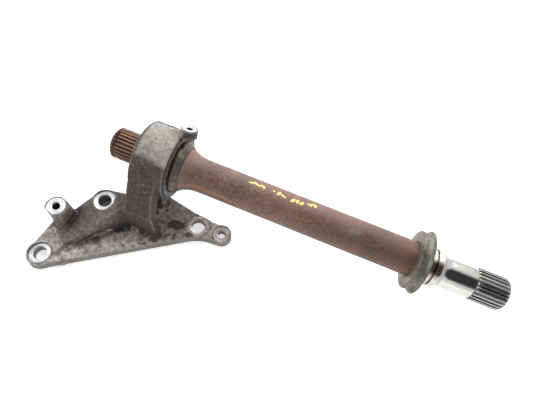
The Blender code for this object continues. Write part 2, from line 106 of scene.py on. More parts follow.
def make_piece(
    name: str,
    points: Array,
    quads: Array,
    finish: "Finish",
    body: Body,
    replaces: tuple[str, ...],
    sharp: float = 40.0,
    fields: dict[str, Array] | None = None,
) -> bpy.types.Object:
    """Make an object from arrays and hang it on its body.

    Args:
        name: The piece's name.
        points: Vertex positions in millimetres.
        quads: Faces; a face with a repeated vertex number becomes a triangle.
        finish: The finish that dresses it.
        body: The body it rides on.
        replaces: The CAD nodes it stands for.
        sharp: Angle in degrees above which an edge stays crisp.
        fields: Point attributes to store, by name.

    Returns:
        The new object.
    """
    quads = outward(points, quads)
    repeated = quads == np.roll(quads, -1, axis=1)
    pinched = repeated.any(axis=1)
    triangles = quads[pinched][~repeated[pinched]].reshape(-1, 3)
    quads = quads[~pinched]

    mesh = bpy.data.meshes.new(name)
    mesh.vertices.add(len(points))
    mesh.vertices.foreach_set("co", (points * MM).astype(np.float32).ravel())
    loops = np.concatenate([quads.ravel(), triangles.ravel()]).astype(np.int32)
    starts = np.concatenate(
        [np.arange(len(quads)) * 4, len(quads) * 4 + np.arange(len(triangles)) * 3]
    ).astype(np.int32)
    mesh.loops.add(len(loops))
    mesh.loops.foreach_set("vertex_index", loops)
    mesh.polygons.add(len(starts))
    mesh.polygons.foreach_set("loop_start", starts)
    mesh.update(calc_edges=True)
    mesh.validate()
    mesh.shade_smooth()
    mesh.set_sharp_from_angle(angle=math.radians(sharp))
    for field_name, values in (fields or {}).items():
        attribute = mesh.attributes.new(field_name, "FLOAT", "POINT")
        attribute.data.foreach_set("value", values.astype(np.float32))
    mesh.materials.append(finish.material())
    piece = bpy.data.objects.new(name, mesh)
    bpy.context.scene.collection.objects.link(piece)
    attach(piece, body.value)
    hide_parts(*replaces)
    LOG.info("%s: %d vertices, %d faces", name, len(points), len(starts))
    return piece


def soften(corners: list[tuple[float, float]], reach: float, closed: bool, steps: int = 4) -> Array:
    """Round the corners of a profile.

    Args:
        corners: The profile's (x, r) corners.
        reach: How far the rounding starts from each corner, at most.
        closed: Whether the profile joins up.
        steps: Points on each rounded corner.

    Returns:
        The rounded profile. Each corner becomes a quadratic curve from a point on the side
        before it to a point on the side after it, with the corner as its control point.
    """
    points = np.array(corners, float)
    before, after = np.roll(points, 1, axis=0), np.roll(points, -1, axis=0)
    to_before, to_after = before - points, after - points
    length_before = np.maximum(np.linalg.norm(to_before, axis=1), 1e-9)
    length_after = np.maximum(np.linalg.norm(to_after, axis=1), 1e-9)
    start = points + to_before * (np.minimum(reach, length_before * 0.45) / length_before)[:, None]
    end = points + to_after * (np.minimum(reach, length_after * 0.45) / length_after)[:, None]
    t = np.linspace(0.0, 1.0, steps)[None, :, None]
    curve = (1 - t) ** 2 * start[:, None] + 2 * t * (1 - t) * points[:, None] + t**2 * end[:, None]
    if not closed:
        curve[0], curve[-1] = points[0], points[-1]
    return curve.reshape(-1, 2)


def revolve(profile: Array, sides: int, closed: bool) -> tuple[Array, Array]:
    """Sweep a profile round the shaft's axis.

    Args:
        profile: (x, r) points; an open profile starts and ends at r = 0.
        sides: Points round the circle.
        closed: Whether the profile joins up into a ring.

    Returns:
        Points and quads. A point at profile station i and angle a is x_i along the axis and
        r_i from it, with a measured from straight up towards the back.
    """
    angle = np.linspace(0.0, 2.0 * np.pi, sides, endpoint=False)[None, :]
    radius = np.broadcast_to(profile[:, 1:2], (len(profile), sides))
    return from_radii(profile[:, 0], radius, angle, closed)


def from_radii(x: Array, radius: Array, angle: Array, closed: bool) -> tuple[Array, Array]:
    """Place a grid of radii about the shaft's axis.

    Args:
        x: Station along the axis of each row.
        radius: Radius of each grid point.
        angle: Angle of each column.
        closed: Whether the rows join up into a ring.

    Returns:
        Points and quads, with the rows at radius zero drawn together into one point.
    """
    rows, columns = radius.shape
    points = np.stack(
        [
            np.broadcast_to(x[:, None], radius.shape),
            AXIS_Y + radius * np.sin(angle),
            AXIS_Z + radius * np.cos(angle),
        ],
        axis=-1,
    ).reshape(-1, 3)
    if closed:
        return points, grid_faces(rows, columns, True)
    return close_ends(points, rows, columns)


def close_ends(points: Array, rows: int, columns: int) -> tuple[Array, Array]:
    """Draw the first and last rows of an open grid together into one point each.

    Args:
        points: The grid's points, row by row.
        rows: Number of rows.
        columns: Number of points in a row, the last joined to the first.

    Returns:
        The points that are left and the faces between them.
    """
    last = (rows - 1) * columns
    quads = grid_faces(rows, columns, False)
    quads = np.where(quads < columns, 0, np.where(quads >= last, last, quads))
    keep = np.ones(len(points), bool)
    keep[1:columns] = False
    keep[last + 1 :] = False
    number = np.cumsum(keep) - 1
    return points[keep], number[quads]


# Shader graphs


class Sheet:
    """A node tree with short calls for adding and wiring nodes."""

    def __init__(self, tree: bpy.types.NodeTree) -> None:
        """Keep the tree that nodes are added to."""
        self.tree = tree

    def add(self, kind: str, sockets: dict[Any, Any] | None = None, **settings: Any) -> bpy.types.Node:
        """Add a node.

        Args:
            kind: The node's type name after "ShaderNode".
            sockets: Input values, or output sockets to link from, by name or number.
            **settings: Properties of the node.

        Returns:
            The node.
        """
        node = self.tree.nodes.new("ShaderNode" + kind)
        for key, value in settings.items():
            setattr(node, key, value)
        self.fill(node, sockets or {})
        return node

    def fill(self, node: bpy.types.Node, sockets: dict[Any, Any]) -> None:
        """Set a node's inputs by value, or link them from a socket."""
        for key, value in sockets.items():
            if isinstance(value, bpy.types.NodeSocket):
                self.tree.links.new(value, node.inputs[key])
            else:
                node.inputs[key].default_value = value

    def times(self, a: Any, b: Any, clamp: bool = False) -> bpy.types.NodeSocket:
        """Multiply two numbers and return the result's socket."""
        return self.math("MULTIPLY", a, b, clamp)

    def less(self, a: Any, b: Any) -> bpy.types.NodeSocket:
        """Take number b from number a and return the result's socket."""
        return self.math("SUBTRACT", a, b)

    def math(self, operation: str, a: Any, b: Any = 0.0, clamp: bool = False) -> bpy.types.NodeSocket:
        """Combine two numbers and return the result's socket."""
        return self.add("Math", {0: a, 1: b}, operation=operation, use_clamp=clamp).outputs[0]

    def mix(self, factor: Any, a: Any, b: Any) -> bpy.types.NodeSocket:
        """Blend colour a towards colour b and return the result's socket."""
        node = self.add("Mix", {0: factor, 6: a, 7: b}, data_type="RGBA")
        return node.outputs[2]

    def blend(self, factor: Any, a: float, b: float) -> bpy.types.NodeSocket:
        """Blend number a towards number b and return the result's socket."""
        return self.add("Mix", {0: factor, 2: a, 3: b}, data_type="FLOAT").outputs[0]

    def ramp(self, value: Any, low: float, high: float) -> bpy.types.NodeSocket:
        """Map low..high of a value to 0..1 with soft ends and return the socket."""
        sockets = {0: value, 1: low, 2: high, 3: 0.0, 4: 1.0}
        return self.add("MapRange", sockets, interpolation_type="SMOOTHSTEP").outputs[0]


def new_group(
    name: str, inputs: dict[str, tuple[str, Any]], outputs: tuple[str, ...]
) -> tuple[Sheet, bpy.types.Node, bpy.types.Node]:
    """Start a shader node group.

    Args:
        name: The group's name.
        inputs: Socket kind ("Float" or "Vector") and first value, by name.
        outputs: Names of the number outputs.

    Returns:
        The group's sheet, its input node and its output node.
    """
    tree = bpy.data.node_groups.new(name, "ShaderNodeTree")
    for key, (kind, value) in inputs.items():
        socket = tree.interface.new_socket(key, in_out="INPUT", socket_type="NodeSocket" + kind)
        socket.default_value = value
    for key in outputs:
        tree.interface.new_socket(key, in_out="OUTPUT", socket_type="NodeSocketFloat")
    return Sheet(tree), tree.nodes.new("NodeGroupInput"), tree.nodes.new("NodeGroupOutput")


def mottle_group() -> bpy.types.NodeTree:
    """Cloudy patches: fractal noise of the given scale, cut between two levels."""
    inputs = {
        "Vector": ("Vector", (0.0, 0.0, 0.0)),
        "Scale": ("Float", 50.0),
        "Detail": ("Float", 5.0),
        "Low": ("Float", 0.4),
        "High": ("Float", 0.6),
    }
    sheet, source, sink = new_group("mottle", inputs, ("Mask",))
    noise = sheet.add(
        "TexNoise", {"Vector": source.outputs[0], "Scale": source.outputs[1], "Detail": source.outputs[2]}
    )
    noise.inputs["Roughness"].default_value = 0.62
    spread = sheet.add(
        "MapRange", {0: noise.outputs["Fac"], 1: source.outputs[3], 2: source.outputs[4], 3: 0.0, 4: 1.0}
    )
    sheet.tree.links.new(spread.outputs[0], sink.inputs[0])
    return sheet.tree


def streak_group() -> bpy.types.NodeTree:
    """Marks drawn out along X: noise squeezed along X and cut between two levels."""
    inputs = {
        "Vector": ("Vector", (0.0, 0.0, 0.0)),
        "Stretch": ("Vector", (0.1, 1.0, 1.0)),
        "Scale": ("Float", 300.0),
        "Low": ("Float", 0.62),
        "High": ("Float", 0.72),
    }
    sheet, source, sink = new_group("streaks", inputs, ("Mask",))
    squeezed = sheet.add(
        "VectorMath", {0: source.outputs[0], 1: source.outputs[1]}, operation="MULTIPLY"
    ).outputs[0]
    noise = sheet.add("TexNoise", {"Vector": squeezed, "Scale": source.outputs[2], "Detail": 3.0})
    spread = sheet.add(
        "MapRange", {0: noise.outputs["Fac"], 1: source.outputs[3], 2: source.outputs[4], 3: 0.0, 4: 1.0}
    )
    sheet.tree.links.new(spread.outputs[0], sink.inputs[0])
    return sheet.tree


def spot_face_group() -> bpy.types.NodeTree:
    """A turned ring round a bolt hole: inside a radius of a centre and near a level in Z.

    The marks are rings, the sine of the distance from the centre.
    """
    inputs = {
        "Vector": ("Vector", (0.0, 0.0, 0.0)),
        "Centre": ("Vector", (0.0, 0.0, 0.0)),
        "Radius": ("Float", 0.012),
        "Reach": ("Float", 0.001),
    }
    sheet, source, sink = new_group("spot_face", inputs, ("Mask", "Marks"))
    offset = sheet.add("VectorMath", {0: source.outputs[0], 1: source.outputs[1]}, operation="SUBTRACT")
    flat = sheet.add("VectorMath", {0: offset.outputs[0], 1: (1.0, 1.0, 0.0)}, operation="MULTIPLY")
    distance = sheet.add("VectorMath", {0: flat.outputs[0]}, operation="LENGTH").outputs["Value"]
    parts = sheet.add("SeparateXYZ", {0: offset.outputs[0]})
    height = sheet.math("ABSOLUTE", parts.outputs[2])
    gap = sheet.less(source.outputs[2], distance)
    inside = sheet.times(gap, 4000.0, True)
    level = sheet.times(sheet.less(source.outputs[3], height), 6000.0, True)
    mask = sheet.times(inside, level, True)
    marks = sheet.math("SINE", sheet.times(distance, 9000.0))
    sheet.tree.links.new(mask, sink.inputs[0])
    sheet.tree.links.new(marks, sink.inputs[1])
    return sheet.tree


def dab_group() -> bpy.types.NodeTree:
    """A brushed dab on a round surface: an ellipse in x and arc length, with a ragged edge.

    The arc length is the angle about the X axis times the radius, and the ellipse's slant
    shifts it with x.
    """
    inputs = {
        "Vector": ("Vector", (0.0, 0.0, 0.0)),
        "Along": ("Float", 0.1),
        "Round": ("Float", 0.0),
        "Length": ("Float", 0.004),
        "Width": ("Float", 0.001),
        "Slant": ("Float", 0.0),
    }
    sheet, source, sink = new_group("dab", inputs, ("Mask",))
    parts = sheet.add("SeparateXYZ", {0: source.outputs[0]})
    arc = sheet.times(sheet.math("ARCTAN2", parts.outputs[1], parts.outputs[2]), TUBE_RADIUS * MM)
    x = sheet.less(parts.outputs[0], source.outputs[1])
    y = sheet.less(arc, source.outputs[2])
    y = sheet.less(y, sheet.times(x, source.outputs[5]))
    across = sheet.math("POWER", sheet.math("DIVIDE", x, source.outputs[3]), 2.0)
    around = sheet.math("POWER", sheet.math("DIVIDE", y, source.outputs[4]), 2.0)
    ragged = sheet.add("TexNoise", {"Vector": source.outputs[0], "Scale": 900.0, "Detail": 2.0})
    edge = sheet.math("ADD", sheet.math("ADD", across, around), ragged.outputs["Fac"])
    mask = sheet.times(sheet.less(1.45, edge), 4.0, True)
    sheet.tree.links.new(mask, sink.inputs[0])
    return sheet.tree


GROUPS: dict[str, bpy.types.NodeTree] = {}


def group(sheet: Sheet, maker: Any, sockets: dict[str, Any]) -> bpy.types.Node:
    """Place a shared group in a material.

    Args:
        sheet: The material's sheet.
        maker: The function that builds the group, called the first time only.
        sockets: This use's own values.

    Returns:
        The group's node.
    """
    if maker.__name__ not in GROUPS:
        GROUPS[maker.__name__] = maker()
    node = sheet.tree.nodes.new("ShaderNodeGroup")
    node.node_tree = GROUPS[maker.__name__]
    sheet.fill(node, sockets)
    return node


def mottle(sheet: Sheet, place: Any, scale: float, detail: float, low: float, high: float) -> Any:
    """Return the mask of the mottle group with these values."""
    sockets = {"Vector": place, "Scale": scale, "Detail": detail, "Low": low, "High": high}
    return group(sheet, mottle_group, sockets).outputs[0]


def streaks(sheet: Sheet, place: Any, stretch: Any, scale: float, low: float, high: float) -> Any:
    """Return the mask of the streak group with these values."""
    sockets = {"Vector": place, "Stretch": stretch, "Scale": scale, "Low": low, "High": high}
    return group(sheet, streak_group, sockets).outputs[0]


def dab(sheet: Sheet, place: Any, stroke: tuple[float, ...]) -> Any:
    """Return the mask of one dab: along, round, length, width and slant."""
    names = ("Along", "Round", "Length", "Width", "Slant")
    return group(sheet, dab_group, {"Vector": place, **dict(zip(names, stroke))}).outputs[0]


Colour = tuple[float, float, float, float]


@dataclass(frozen=True)
class Finish:
    """A material worked out from nodes; each kind of finish fills in its own surface."""

    name: str

    def material(self) -> bpy.types.Material:
        """Return the material, building it the first time it is asked for."""
        found = bpy.data.materials.get(self.name)
        if found is not None and found.get("built"):
            return found
        material = bpy.data.materials.new(self.name)
        material["built"] = True
        material.use_nodes = True
        material.node_tree.nodes.clear()
        sheet = Sheet(material.node_tree)
        shader = sheet.add("BsdfPrincipled")
        output = sheet.add("OutputMaterial", {0: shader.outputs[0]})
        output.is_active_output = True
        self.paint(sheet, shader)
        return material

    def paint(self, sheet: Sheet, shader: bpy.types.Node) -> None:
        """Wire the surface; a plain finish leaves the shader as it is."""

    def place(self, sheet: Sheet) -> bpy.types.NodeSocket:
        """Return object coordinates moved so that the shaft's axis is X."""
        coords = sheet.add("TexCoord").outputs["Object"]
        shift = (0.0, -AXIS_Y * MM, -AXIS_Z * MM)
        return sheet.add("Mapping", {"Vector": coords, "Location": shift}).outputs[0]

    def axis_distance(self, sheet: Sheet, place: bpy.types.NodeSocket) -> bpy.types.NodeSocket:
        """Return the distance from the shaft's axis."""
        flat = sheet.add("VectorMath", {0: place, 1: (0.0, 1.0, 1.0)}, operation="MULTIPLY").outputs[0]
        return sheet.add("VectorMath", {0: flat}, operation="LENGTH").outputs["Value"]

    def wire(self, sheet: Sheet, shader: bpy.types.Node, colour: Any, rough: Any, metal: Any) -> None:
        """Join colour, roughness and metal to the shader, by value or by socket."""
        sheet.fill(shader, {"Base Color": colour, "Roughness": rough, "Metallic": metal})

    def bump(
        self, sheet: Sheet, shader: bpy.types.Node, height: Any, depth: float, strength: float
    ) -> None:
        """Raise the surface by a height of the given depth in metres."""
        node = sheet.add("Bump", {"Height": height, "Distance": depth, "Strength": strength})
        sheet.tree.links.new(node.outputs[0], shader.inputs["Normal"])


@dataclass(frozen=True)
class MetalFinish(Finish):
    """Plain worked steel with fine turning marks, stains and a little pitting."""

    colour: Colour = (0.6, 0.6, 0.58, 1.0)
    stain: Colour = (0.3, 0.25, 0.18, 1.0)
    stained: float = 0.3
    rough: float = 0.3
    rough_stain: float = 0.5
    metal: float = 1.0
    marks: float = 1.0

    def paint(self, sheet: Sheet, shader: bpy.types.Node) -> None:
        """Wire stains by cloudy patches, and turning marks as a wave along the axis."""
        place = self.place(sheet)
        patches = mottle(sheet, place, 90.0, 6.0, 0.62 - self.stained * 0.4, 0.72)
        colour = sheet.mix(patches, self.colour, self.stain)
        rough = sheet.blend(patches, self.rough, self.rough_stain)
        self.wire(sheet, shader, colour, rough, self.metal)
        lines = streaks(sheet, place, (8.0, 0.4, 0.4), 250.0, 0.35, 0.65)
        self.bump(sheet, shader, lines, 0.00004, self.marks * 0.5)


@dataclass(frozen=True)
class RubberFinish(Finish):
    """Black rubber with a little dust."""

    colour: Colour = (0.016, 0.016, 0.017, 1.0)
    dust: Colour = (0.09, 0.085, 0.078, 1.0)

    def paint(self, sheet: Sheet, shader: bpy.types.Node) -> None:
        """Wire dust in soft patches over the black."""
        place = self.place(sheet)
        dusty = mottle(sheet, place, 160.0, 5.0, 0.42, 0.7)
        colour = sheet.mix(dusty, self.colour, self.dust)
        self.wire(sheet, shader, colour, sheet.blend(dusty, 0.42, 0.75), 0.0)
        self.bump(sheet, shader, dusty, 0.0001, 0.4)


# The tube's scuff, and plain dabs of paint with no lettering: place along the shaft and
# round it, half length, half width and slant, in metres.
SCUFF = (0.2268, -0.0056, 0.009, 0.0052, 0.2)
PAINT_DABS = (
    (0.1078, 0.0046, 0.0040, 0.0014, 0.3),
    (0.1120, 0.0056, 0.0030, 0.0018, -0.4),
    (0.1170, 0.0050, 0.0036, 0.0015, 0.5),
    (0.1212, 0.0044, 0.0020, 0.0019, 0.0),
    (0.1330, 0.0048, 0.0019, 0.0011, 0.0),
    (0.1388, 0.0044, 0.0022, 0.0028, 0.6),
    (0.1440, 0.0032, 0.0042, 0.0013, -0.3),
    (0.1555, 0.0024, 0.0030, 0.0025, 0.5),
    (0.1604, 0.0034, 0.0018, 0.0032, -0.2),
    (0.1653, 0.0030, 0.0026, 0.0026, 0.4),
    (0.1735, 0.0050, 0.0034, 0.0012, -0.4),
    (0.1764, 0.0072, 0.0030, 0.0016, 0.8),
    (0.1800, 0.0062, 0.0018, 0.0026, 0.0),
)


@dataclass(frozen=True)
class RustFinish(Finish):
    """The tube's brown rust: patches, thin bright orange scratches, a grey scuff and paint dabs."""

    base: Colour = (0.19, 0.103, 0.074, 1.0)
    dark: Colour = (0.09, 0.05, 0.039, 1.0)
    pale: Colour = (0.31, 0.2, 0.155, 1.0)
    orange: Colour = (0.42, 0.15, 0.045, 1.0)
    grey: Colour = (0.3, 0.28, 0.27, 1.0)
    yellow: Colour = (0.78, 0.7, 0.2, 1.0)

    def paint(self, sheet: Sheet, shader: bpy.types.Node) -> None:
        """Layer rust, scratches, the scuff, the end stain and the dabs of paint."""
        place = self.place(sheet)
        parts = sheet.add("SeparateXYZ", {0: place})
        patches = mottle(sheet, place, 34.0, 8.0, 0.36, 0.6)
        fine = mottle(sheet, place, 330.0, 6.0, 0.36, 0.66)
        scratches = streaks(sheet, place, (0.5, 0.16, 1.0), 240.0, 0.66, 0.71)
        long_marks = streaks(sheet, place, (0.06, 1.0, 1.0), 150.0, 0.645, 0.7)
        colour = sheet.mix(patches, self.base, self.dark)
        colour = sheet.mix(sheet.times(fine, 0.6), colour, self.pale)
        orange = sheet.times(sheet.math("ADD", scratches, long_marks, True), 0.55)
        colour = sheet.mix(orange, colour, self.orange)
        end_stain = sheet.ramp(parts.outputs[0], 0.268, 0.293)
        rusty = mottle(sheet, place, 95.0, 5.0, 0.3, 0.6)
        end_stain = sheet.times(sheet.times(end_stain, rusty), 0.3)
        colour = sheet.mix(end_stain, colour, self.orange)
        flare = sheet.less(1.0, sheet.ramp(parts.outputs[0], 0.033, 0.062))
        colour = sheet.mix(sheet.times(flare, 0.25), colour, self.pale)
        inboard = sheet.times(sheet.ramp(parts.outputs[0], 0.13, 0.26), 0.42)
        colour = sheet.mix(inboard, colour, self.dark)
        scuff = dab(sheet, place, SCUFF)
        speckle = mottle(sheet, place, 900.0, 3.0, 0.5, 0.62)
        colour = sheet.mix(sheet.times(scuff, speckle), colour, self.grey)
        cover = dab(sheet, place, PAINT_DABS[0])
        for stroke in PAINT_DABS[1:]:
            cover = sheet.math("MAXIMUM", cover, dab(sheet, place, stroke))
        colour = sheet.mix(sheet.times(cover, 0.9), colour, self.yellow)
        rough = sheet.blend(fine, 0.5, 0.72)
        self.wire(sheet, shader, colour, rough, 0.15)
        relief = sheet.less(fine, sheet.times(orange, 1.5))
        self.bump(sheet, shader, relief, 0.00012, 0.55)


@dataclass(frozen=True)
class SplineRustFinish(Finish):
    """The outboard spline: dark oxide in the roots, orange rust on the flanks, bare lands."""

    root_radius: float = 0.0168
    tip_radius: float = 0.0179
    oxide: Colour = (0.035, 0.024, 0.02, 1.0)
    brown: Colour = (0.2, 0.1, 0.06, 1.0)
    orange: Colour = (0.46, 0.19, 0.07, 1.0)
    bare: Colour = (0.3, 0.25, 0.22, 1.0)

    def paint(self, sheet: Sheet, shader: bpy.types.Node) -> None:
        """Colour by radius from the axis, broken up by patches."""
        place = self.place(sheet)
        radius = self.axis_distance(sheet, place)
        high = sheet.ramp(radius, self.root_radius, self.tip_radius)
        patches = mottle(sheet, place, 70.0, 6.0, 0.4, 0.62)
        fine = mottle(sheet, place, 500.0, 4.0, 0.35, 0.65)
        lands = sheet.mix(patches, self.brown, self.orange)
        lands = sheet.mix(sheet.times(fine, 0.4), lands, self.bare)
        colour = sheet.mix(high, self.oxide, lands)
        self.wire(sheet, shader, colour, sheet.blend(fine, 0.4, 0.65), 0.35)
        self.bump(sheet, shader, fine, 0.0001, 0.5)


@dataclass(frozen=True)
class GroundSteelFinish(Finish):
    """The inboard end: polished journal, bright spline with dark roots, gold-tinted collar."""

    root_radius: float = 0.0169
    tip_radius: float = 0.0180
    spline_start: tuple[float, float] = (0.3615, 0.3622)
    collar_end: tuple[float, float] = (0.3235, 0.3245)
    cone_start: tuple[float, float] = (0.3238, 0.3243)
    cone_end: tuple[float, float] = (0.3284, 0.3277)
    groove_depth: tuple[float, float] = (0.0206, 0.0202)
    steel: Colour = (0.62, 0.615, 0.6, 1.0)
    dull: Colour = (0.42, 0.4, 0.37, 1.0)
    gold: Colour = (0.56, 0.46, 0.34, 1.0)
    bronze: Colour = (0.36, 0.28, 0.2, 1.0)
    # Near-black for the collar's grooves.
    groove_dark: Colour = (0.07, 0.06, 0.05, 1.0)
    tooth: Colour = (0.3, 0.29, 0.28, 1.0)
    root: Colour = (0.14, 0.13, 0.125, 1.0)
    cone: Colour = (0.42, 0.41, 0.4, 1.0)

    def paint(self, sheet: Sheet, shader: bpy.types.Node) -> None:
        """Switch between the three zones by place along the shaft."""
        place = self.place(sheet)
        parts = sheet.add("SeparateXYZ", {0: place})
        x = parts.outputs[0]
        radius = self.axis_distance(sheet, place)
        spline = sheet.ramp(x, *self.spline_start)
        collar = sheet.less(1.0, sheet.ramp(x, *self.collar_end))
        cone = sheet.times(sheet.ramp(x, *self.cone_start), sheet.ramp(x, *self.cone_end))
        patches = mottle(sheet, place, 130.0, 6.0, 0.42, 0.66)
        fine = mottle(sheet, place, 700.0, 4.0, 0.35, 0.65)
        low = sheet.less(1.0, sheet.ramp(radius, self.root_radius, self.tip_radius))
        root = sheet.times(spline, low)
        colour = sheet.mix(sheet.times(patches, 0.35), self.steel, self.dull)
        gold = sheet.mix(patches, self.gold, self.bronze)
        colour = sheet.mix(sheet.times(collar, 0.5), colour, gold)
        # The collar's grooves are coloured near-black.
        groove = sheet.times(collar, sheet.ramp(radius, *self.groove_depth))
        colour = sheet.mix(sheet.times(groove, 0.85), colour, self.groove_dark)
        colour = sheet.mix(sheet.times(spline, 0.5), colour, self.tooth)
        colour = sheet.mix(sheet.times(root, 0.85), colour, self.root)
        colour = sheet.mix(sheet.times(cone, 0.8), colour, self.cone)
        worn = sheet.math("ADD", sheet.times(spline, 0.12), sheet.times(collar, 0.1))
        worn = sheet.math("ADD", worn, sheet.times(cone, 0.35))
        rough = sheet.math("ADD", sheet.blend(fine, 0.07, 0.16), worn)
        self.wire(sheet, shader, colour, rough, 1.0)
        lines = streaks(sheet, place, (9.0, 0.3, 0.3), 300.0, 0.35, 0.65)
        self.bump(sheet, shader, lines, 0.00002, 0.35)


@dataclass(frozen=True)
class CastFinish(Finish):
    """Cast aluminium: grey mottled skin, brown grime on the web, grime and painted shade on the column, a
    partly painted highlight on the housing top, painted shade in closed-in places, bright spot faces.
    """

    # Housing top colour: partly its own skin tone, partly a painted highlight where it faces the light.
    crown: Colour = (0.44, 0.41, 0.365, 1.0)
    light: Colour = (0.68, 0.63, 0.59, 1.0)
    mid: Colour = (0.19, 0.174, 0.162, 1.0)
    web: Colour = (0.085, 0.074, 0.067, 1.0)
    # Darkest skin colour for the column and housing front: partly grime, partly painted shade on faces
    # turned from the light.
    grime_and_shade: Colour = (0.04, 0.035, 0.031, 1.0)
    # Black for the painted shade in closed-in places.
    black: Colour = (0.012, 0.011, 0.01, 1.0)
    bright: Colour = (0.86, 0.865, 0.875, 1.0)
    turned: Colour = (0.6, 0.61, 0.63, 1.0)
    rubbed: Colour = (0.36, 0.345, 0.32, 1.0)

    def paint(self, sheet: Sheet, shader: bpy.types.Node) -> None:
        """Layer skin, grime by height with painted shade on the column, a partly painted highlight on the
        housing top, painted shade in closed-in places, worn edges and the machined rings.
        """
        coords = sheet.add("TexCoord").outputs["Object"]
        parts = sheet.add("SeparateXYZ", {0: coords})
        edge = sheet.add("Attribute", attribute_name="edge").outputs["Fac"]
        # Painted shade mask: how closed in each point is, stored on the casting's mesh.
        occlusion_shade = sheet.add("Attribute", attribute_name="occlusion_shade").outputs["Fac"]
        large = mottle(sheet, coords, 60.0, 7.0, 0.36, 0.64)
        small = mottle(sheet, coords, 240.0, 7.0, 0.38, 0.62)
        pits = mottle(sheet, coords, 900.0, 4.0, 0.35, 0.6)
        chips = mottle(sheet, coords, 420.0, 3.0, 0.63, 0.69)
        x = parts.outputs[0]
        z = sheet.math("ADD", parts.outputs[2], sheet.times(sheet.less(large, 0.5), 0.006))
        plate = sheet.mix(sheet.times(small, 0.8), self.light, self.mid)
        # The plate is darkened in a band from x 8 to 60 mm and in large patches.
        darkened_band = sheet.times(sheet.ramp(x, 0.008, 0.024), sheet.ramp(x, 0.06, 0.044))
        darkened_band = sheet.math("MAXIMUM", sheet.times(darkened_band, 0.45), sheet.times(large, 0.25))
        plate = sheet.mix(darkened_band, plate, self.web)
        web = sheet.mix(small, self.web, self.mid)
        # From x -16 mm on, the column and housing below the top go darker: partly grime, partly painted
        # shade.
        dark = sheet.mix(small, self.grime_and_shade, self.web)
        above = sheet.mix(sheet.ramp(x, -0.034, -0.016), web, dark)
        colour = sheet.mix(sheet.ramp(z, 0.0112, 0.0135), plate, above)
        side = sheet.less(1.0, sheet.ramp(parts.outputs[2], 0.0088, 0.0102))
        colour = sheet.mix(sheet.times(side, 0.75), colour, sheet.mix(large, self.web, self.mid))
        # The housing's top band, above z 96 to 102 mm, is lightened: partly skin tone, partly a painted
        # highlight.
        crown = sheet.mix(sheet.times(small, 0.8), self.crown, self.mid)
        rim = sheet.times(sheet.ramp(x, -0.0168, -0.0135), sheet.ramp(z, 0.0955, 0.1015))
        rim = sheet.times(rim, sheet.ramp(x, 0.024, 0.0205))
        colour = sheet.mix(rim, colour, crown)
        # Painted shade: darken towards black where the casting is closed in, as in the pocket under the
        # housing.
        colour = sheet.mix(sheet.times(occlusion_shade, 0.92), colour, self.black)
        colour = sheet.mix(sheet.times(chips, 0.3), colour, self.light)
        worn = sheet.times(sheet.times(edge, pits), 0.6)
        colour = sheet.mix(worn, colour, self.rubbed)

        machined, marks = None, None
        for spot in SPOTS:
            placed: Any = coords
            if spot.tilt:
                back = tuple(-c for c in spot.centre)
                shifted = sheet.add("VectorMath", {0: coords, 1: back}, operation="ADD")
                placed = sheet.add(
                    "Mapping", {"Vector": shifted.outputs[0], "Rotation": (spot.tilt, 0.0, 0.0)}
                ).outputs[0]
            centre = (0.0, 0.0, 0.0) if spot.tilt else spot.centre
            ring = group(
                sheet,
                spot_face_group,
                {"Vector": placed, "Centre": centre, "Radius": spot.radius, "Reach": spot.reach},
            )
            cover = sheet.times(ring.outputs[0], spot.cover)
            machined = cover if machined is None else sheet.math("MAXIMUM", machined, cover)
            mark = sheet.times(ring.outputs[0], ring.outputs[1])
            marks = mark if marks is None else sheet.math("ADD", marks, mark)
        tint = sheet.mix(small, self.bright, self.turned)
        colour = sheet.mix(machined, colour, tint)
        rough = sheet.blend(machined, 0.72, 0.34)
        metal = sheet.blend(machined, 0.12, 0.75)
        self.wire(sheet, shader, colour, rough, metal)
        cast = sheet.math("ADD", sheet.times(small, 0.6), sheet.times(pits, 0.4))
        cast = sheet.times(cast, sheet.less(1.0, machined))
        height = sheet.math("ADD", cast, sheet.times(marks, 0.04))
        self.bump(sheet, shader, height, 0.0005, 0.6)


@dataclass(frozen=True)
class Spot:
    """A machined ring: its centre, radius and depth of reach in metres, tilt and cover."""

    centre: tuple[float, float, float]
    radius: float
    reach: float
    tilt: float = 0.0
    cover: float = 1.0


# Bracket casting

EAR_TILT = math.radians(29.0)
EAR_X = 25.5
EAR_FACE = 49.5
EAR_CENTRE = (
    EAR_X * MM,
    (AXIS_Y + EAR_FACE * math.sin(EAR_TILT)) * MM,
    (AXIS_Z + EAR_FACE * math.cos(EAR_TILT)) * MM,
)
SPOTS: tuple[Spot, ...] = (
    Spot((-0.0863, -0.0866, 0.010), 0.0116, 0.0009),
    Spot((0.0593, 0.0145, 0.010), 0.0122, 0.0009),
    Spot((0.0896, 0.0162, 0.010), 0.0101, 0.0012),
    Spot((-0.0482, -0.0075, 0.0295), 0.0124, 0.0009),
    Spot((-0.0858, -0.0393, 0.042), 0.0104, 0.0008),
    Spot(EAR_CENTRE, 0.0078, 0.0008, EAR_TILT, 0.6),
)


def smooth_union(a: Array, b: Array, k: float) -> Array:
    """Join two distance fields with a fillet.

    Args:
        a: First field.
        b: Second field.
        k: Reach of the fillet.

    Returns:
        The smaller of the two, less a quarter of k times the square of how far they are
        within k of each other, as a share of k.
    """
    near = np.maximum(k - np.abs(a - b), 0.0) / k
    return np.minimum(a, b) - near * near * k * 0.25


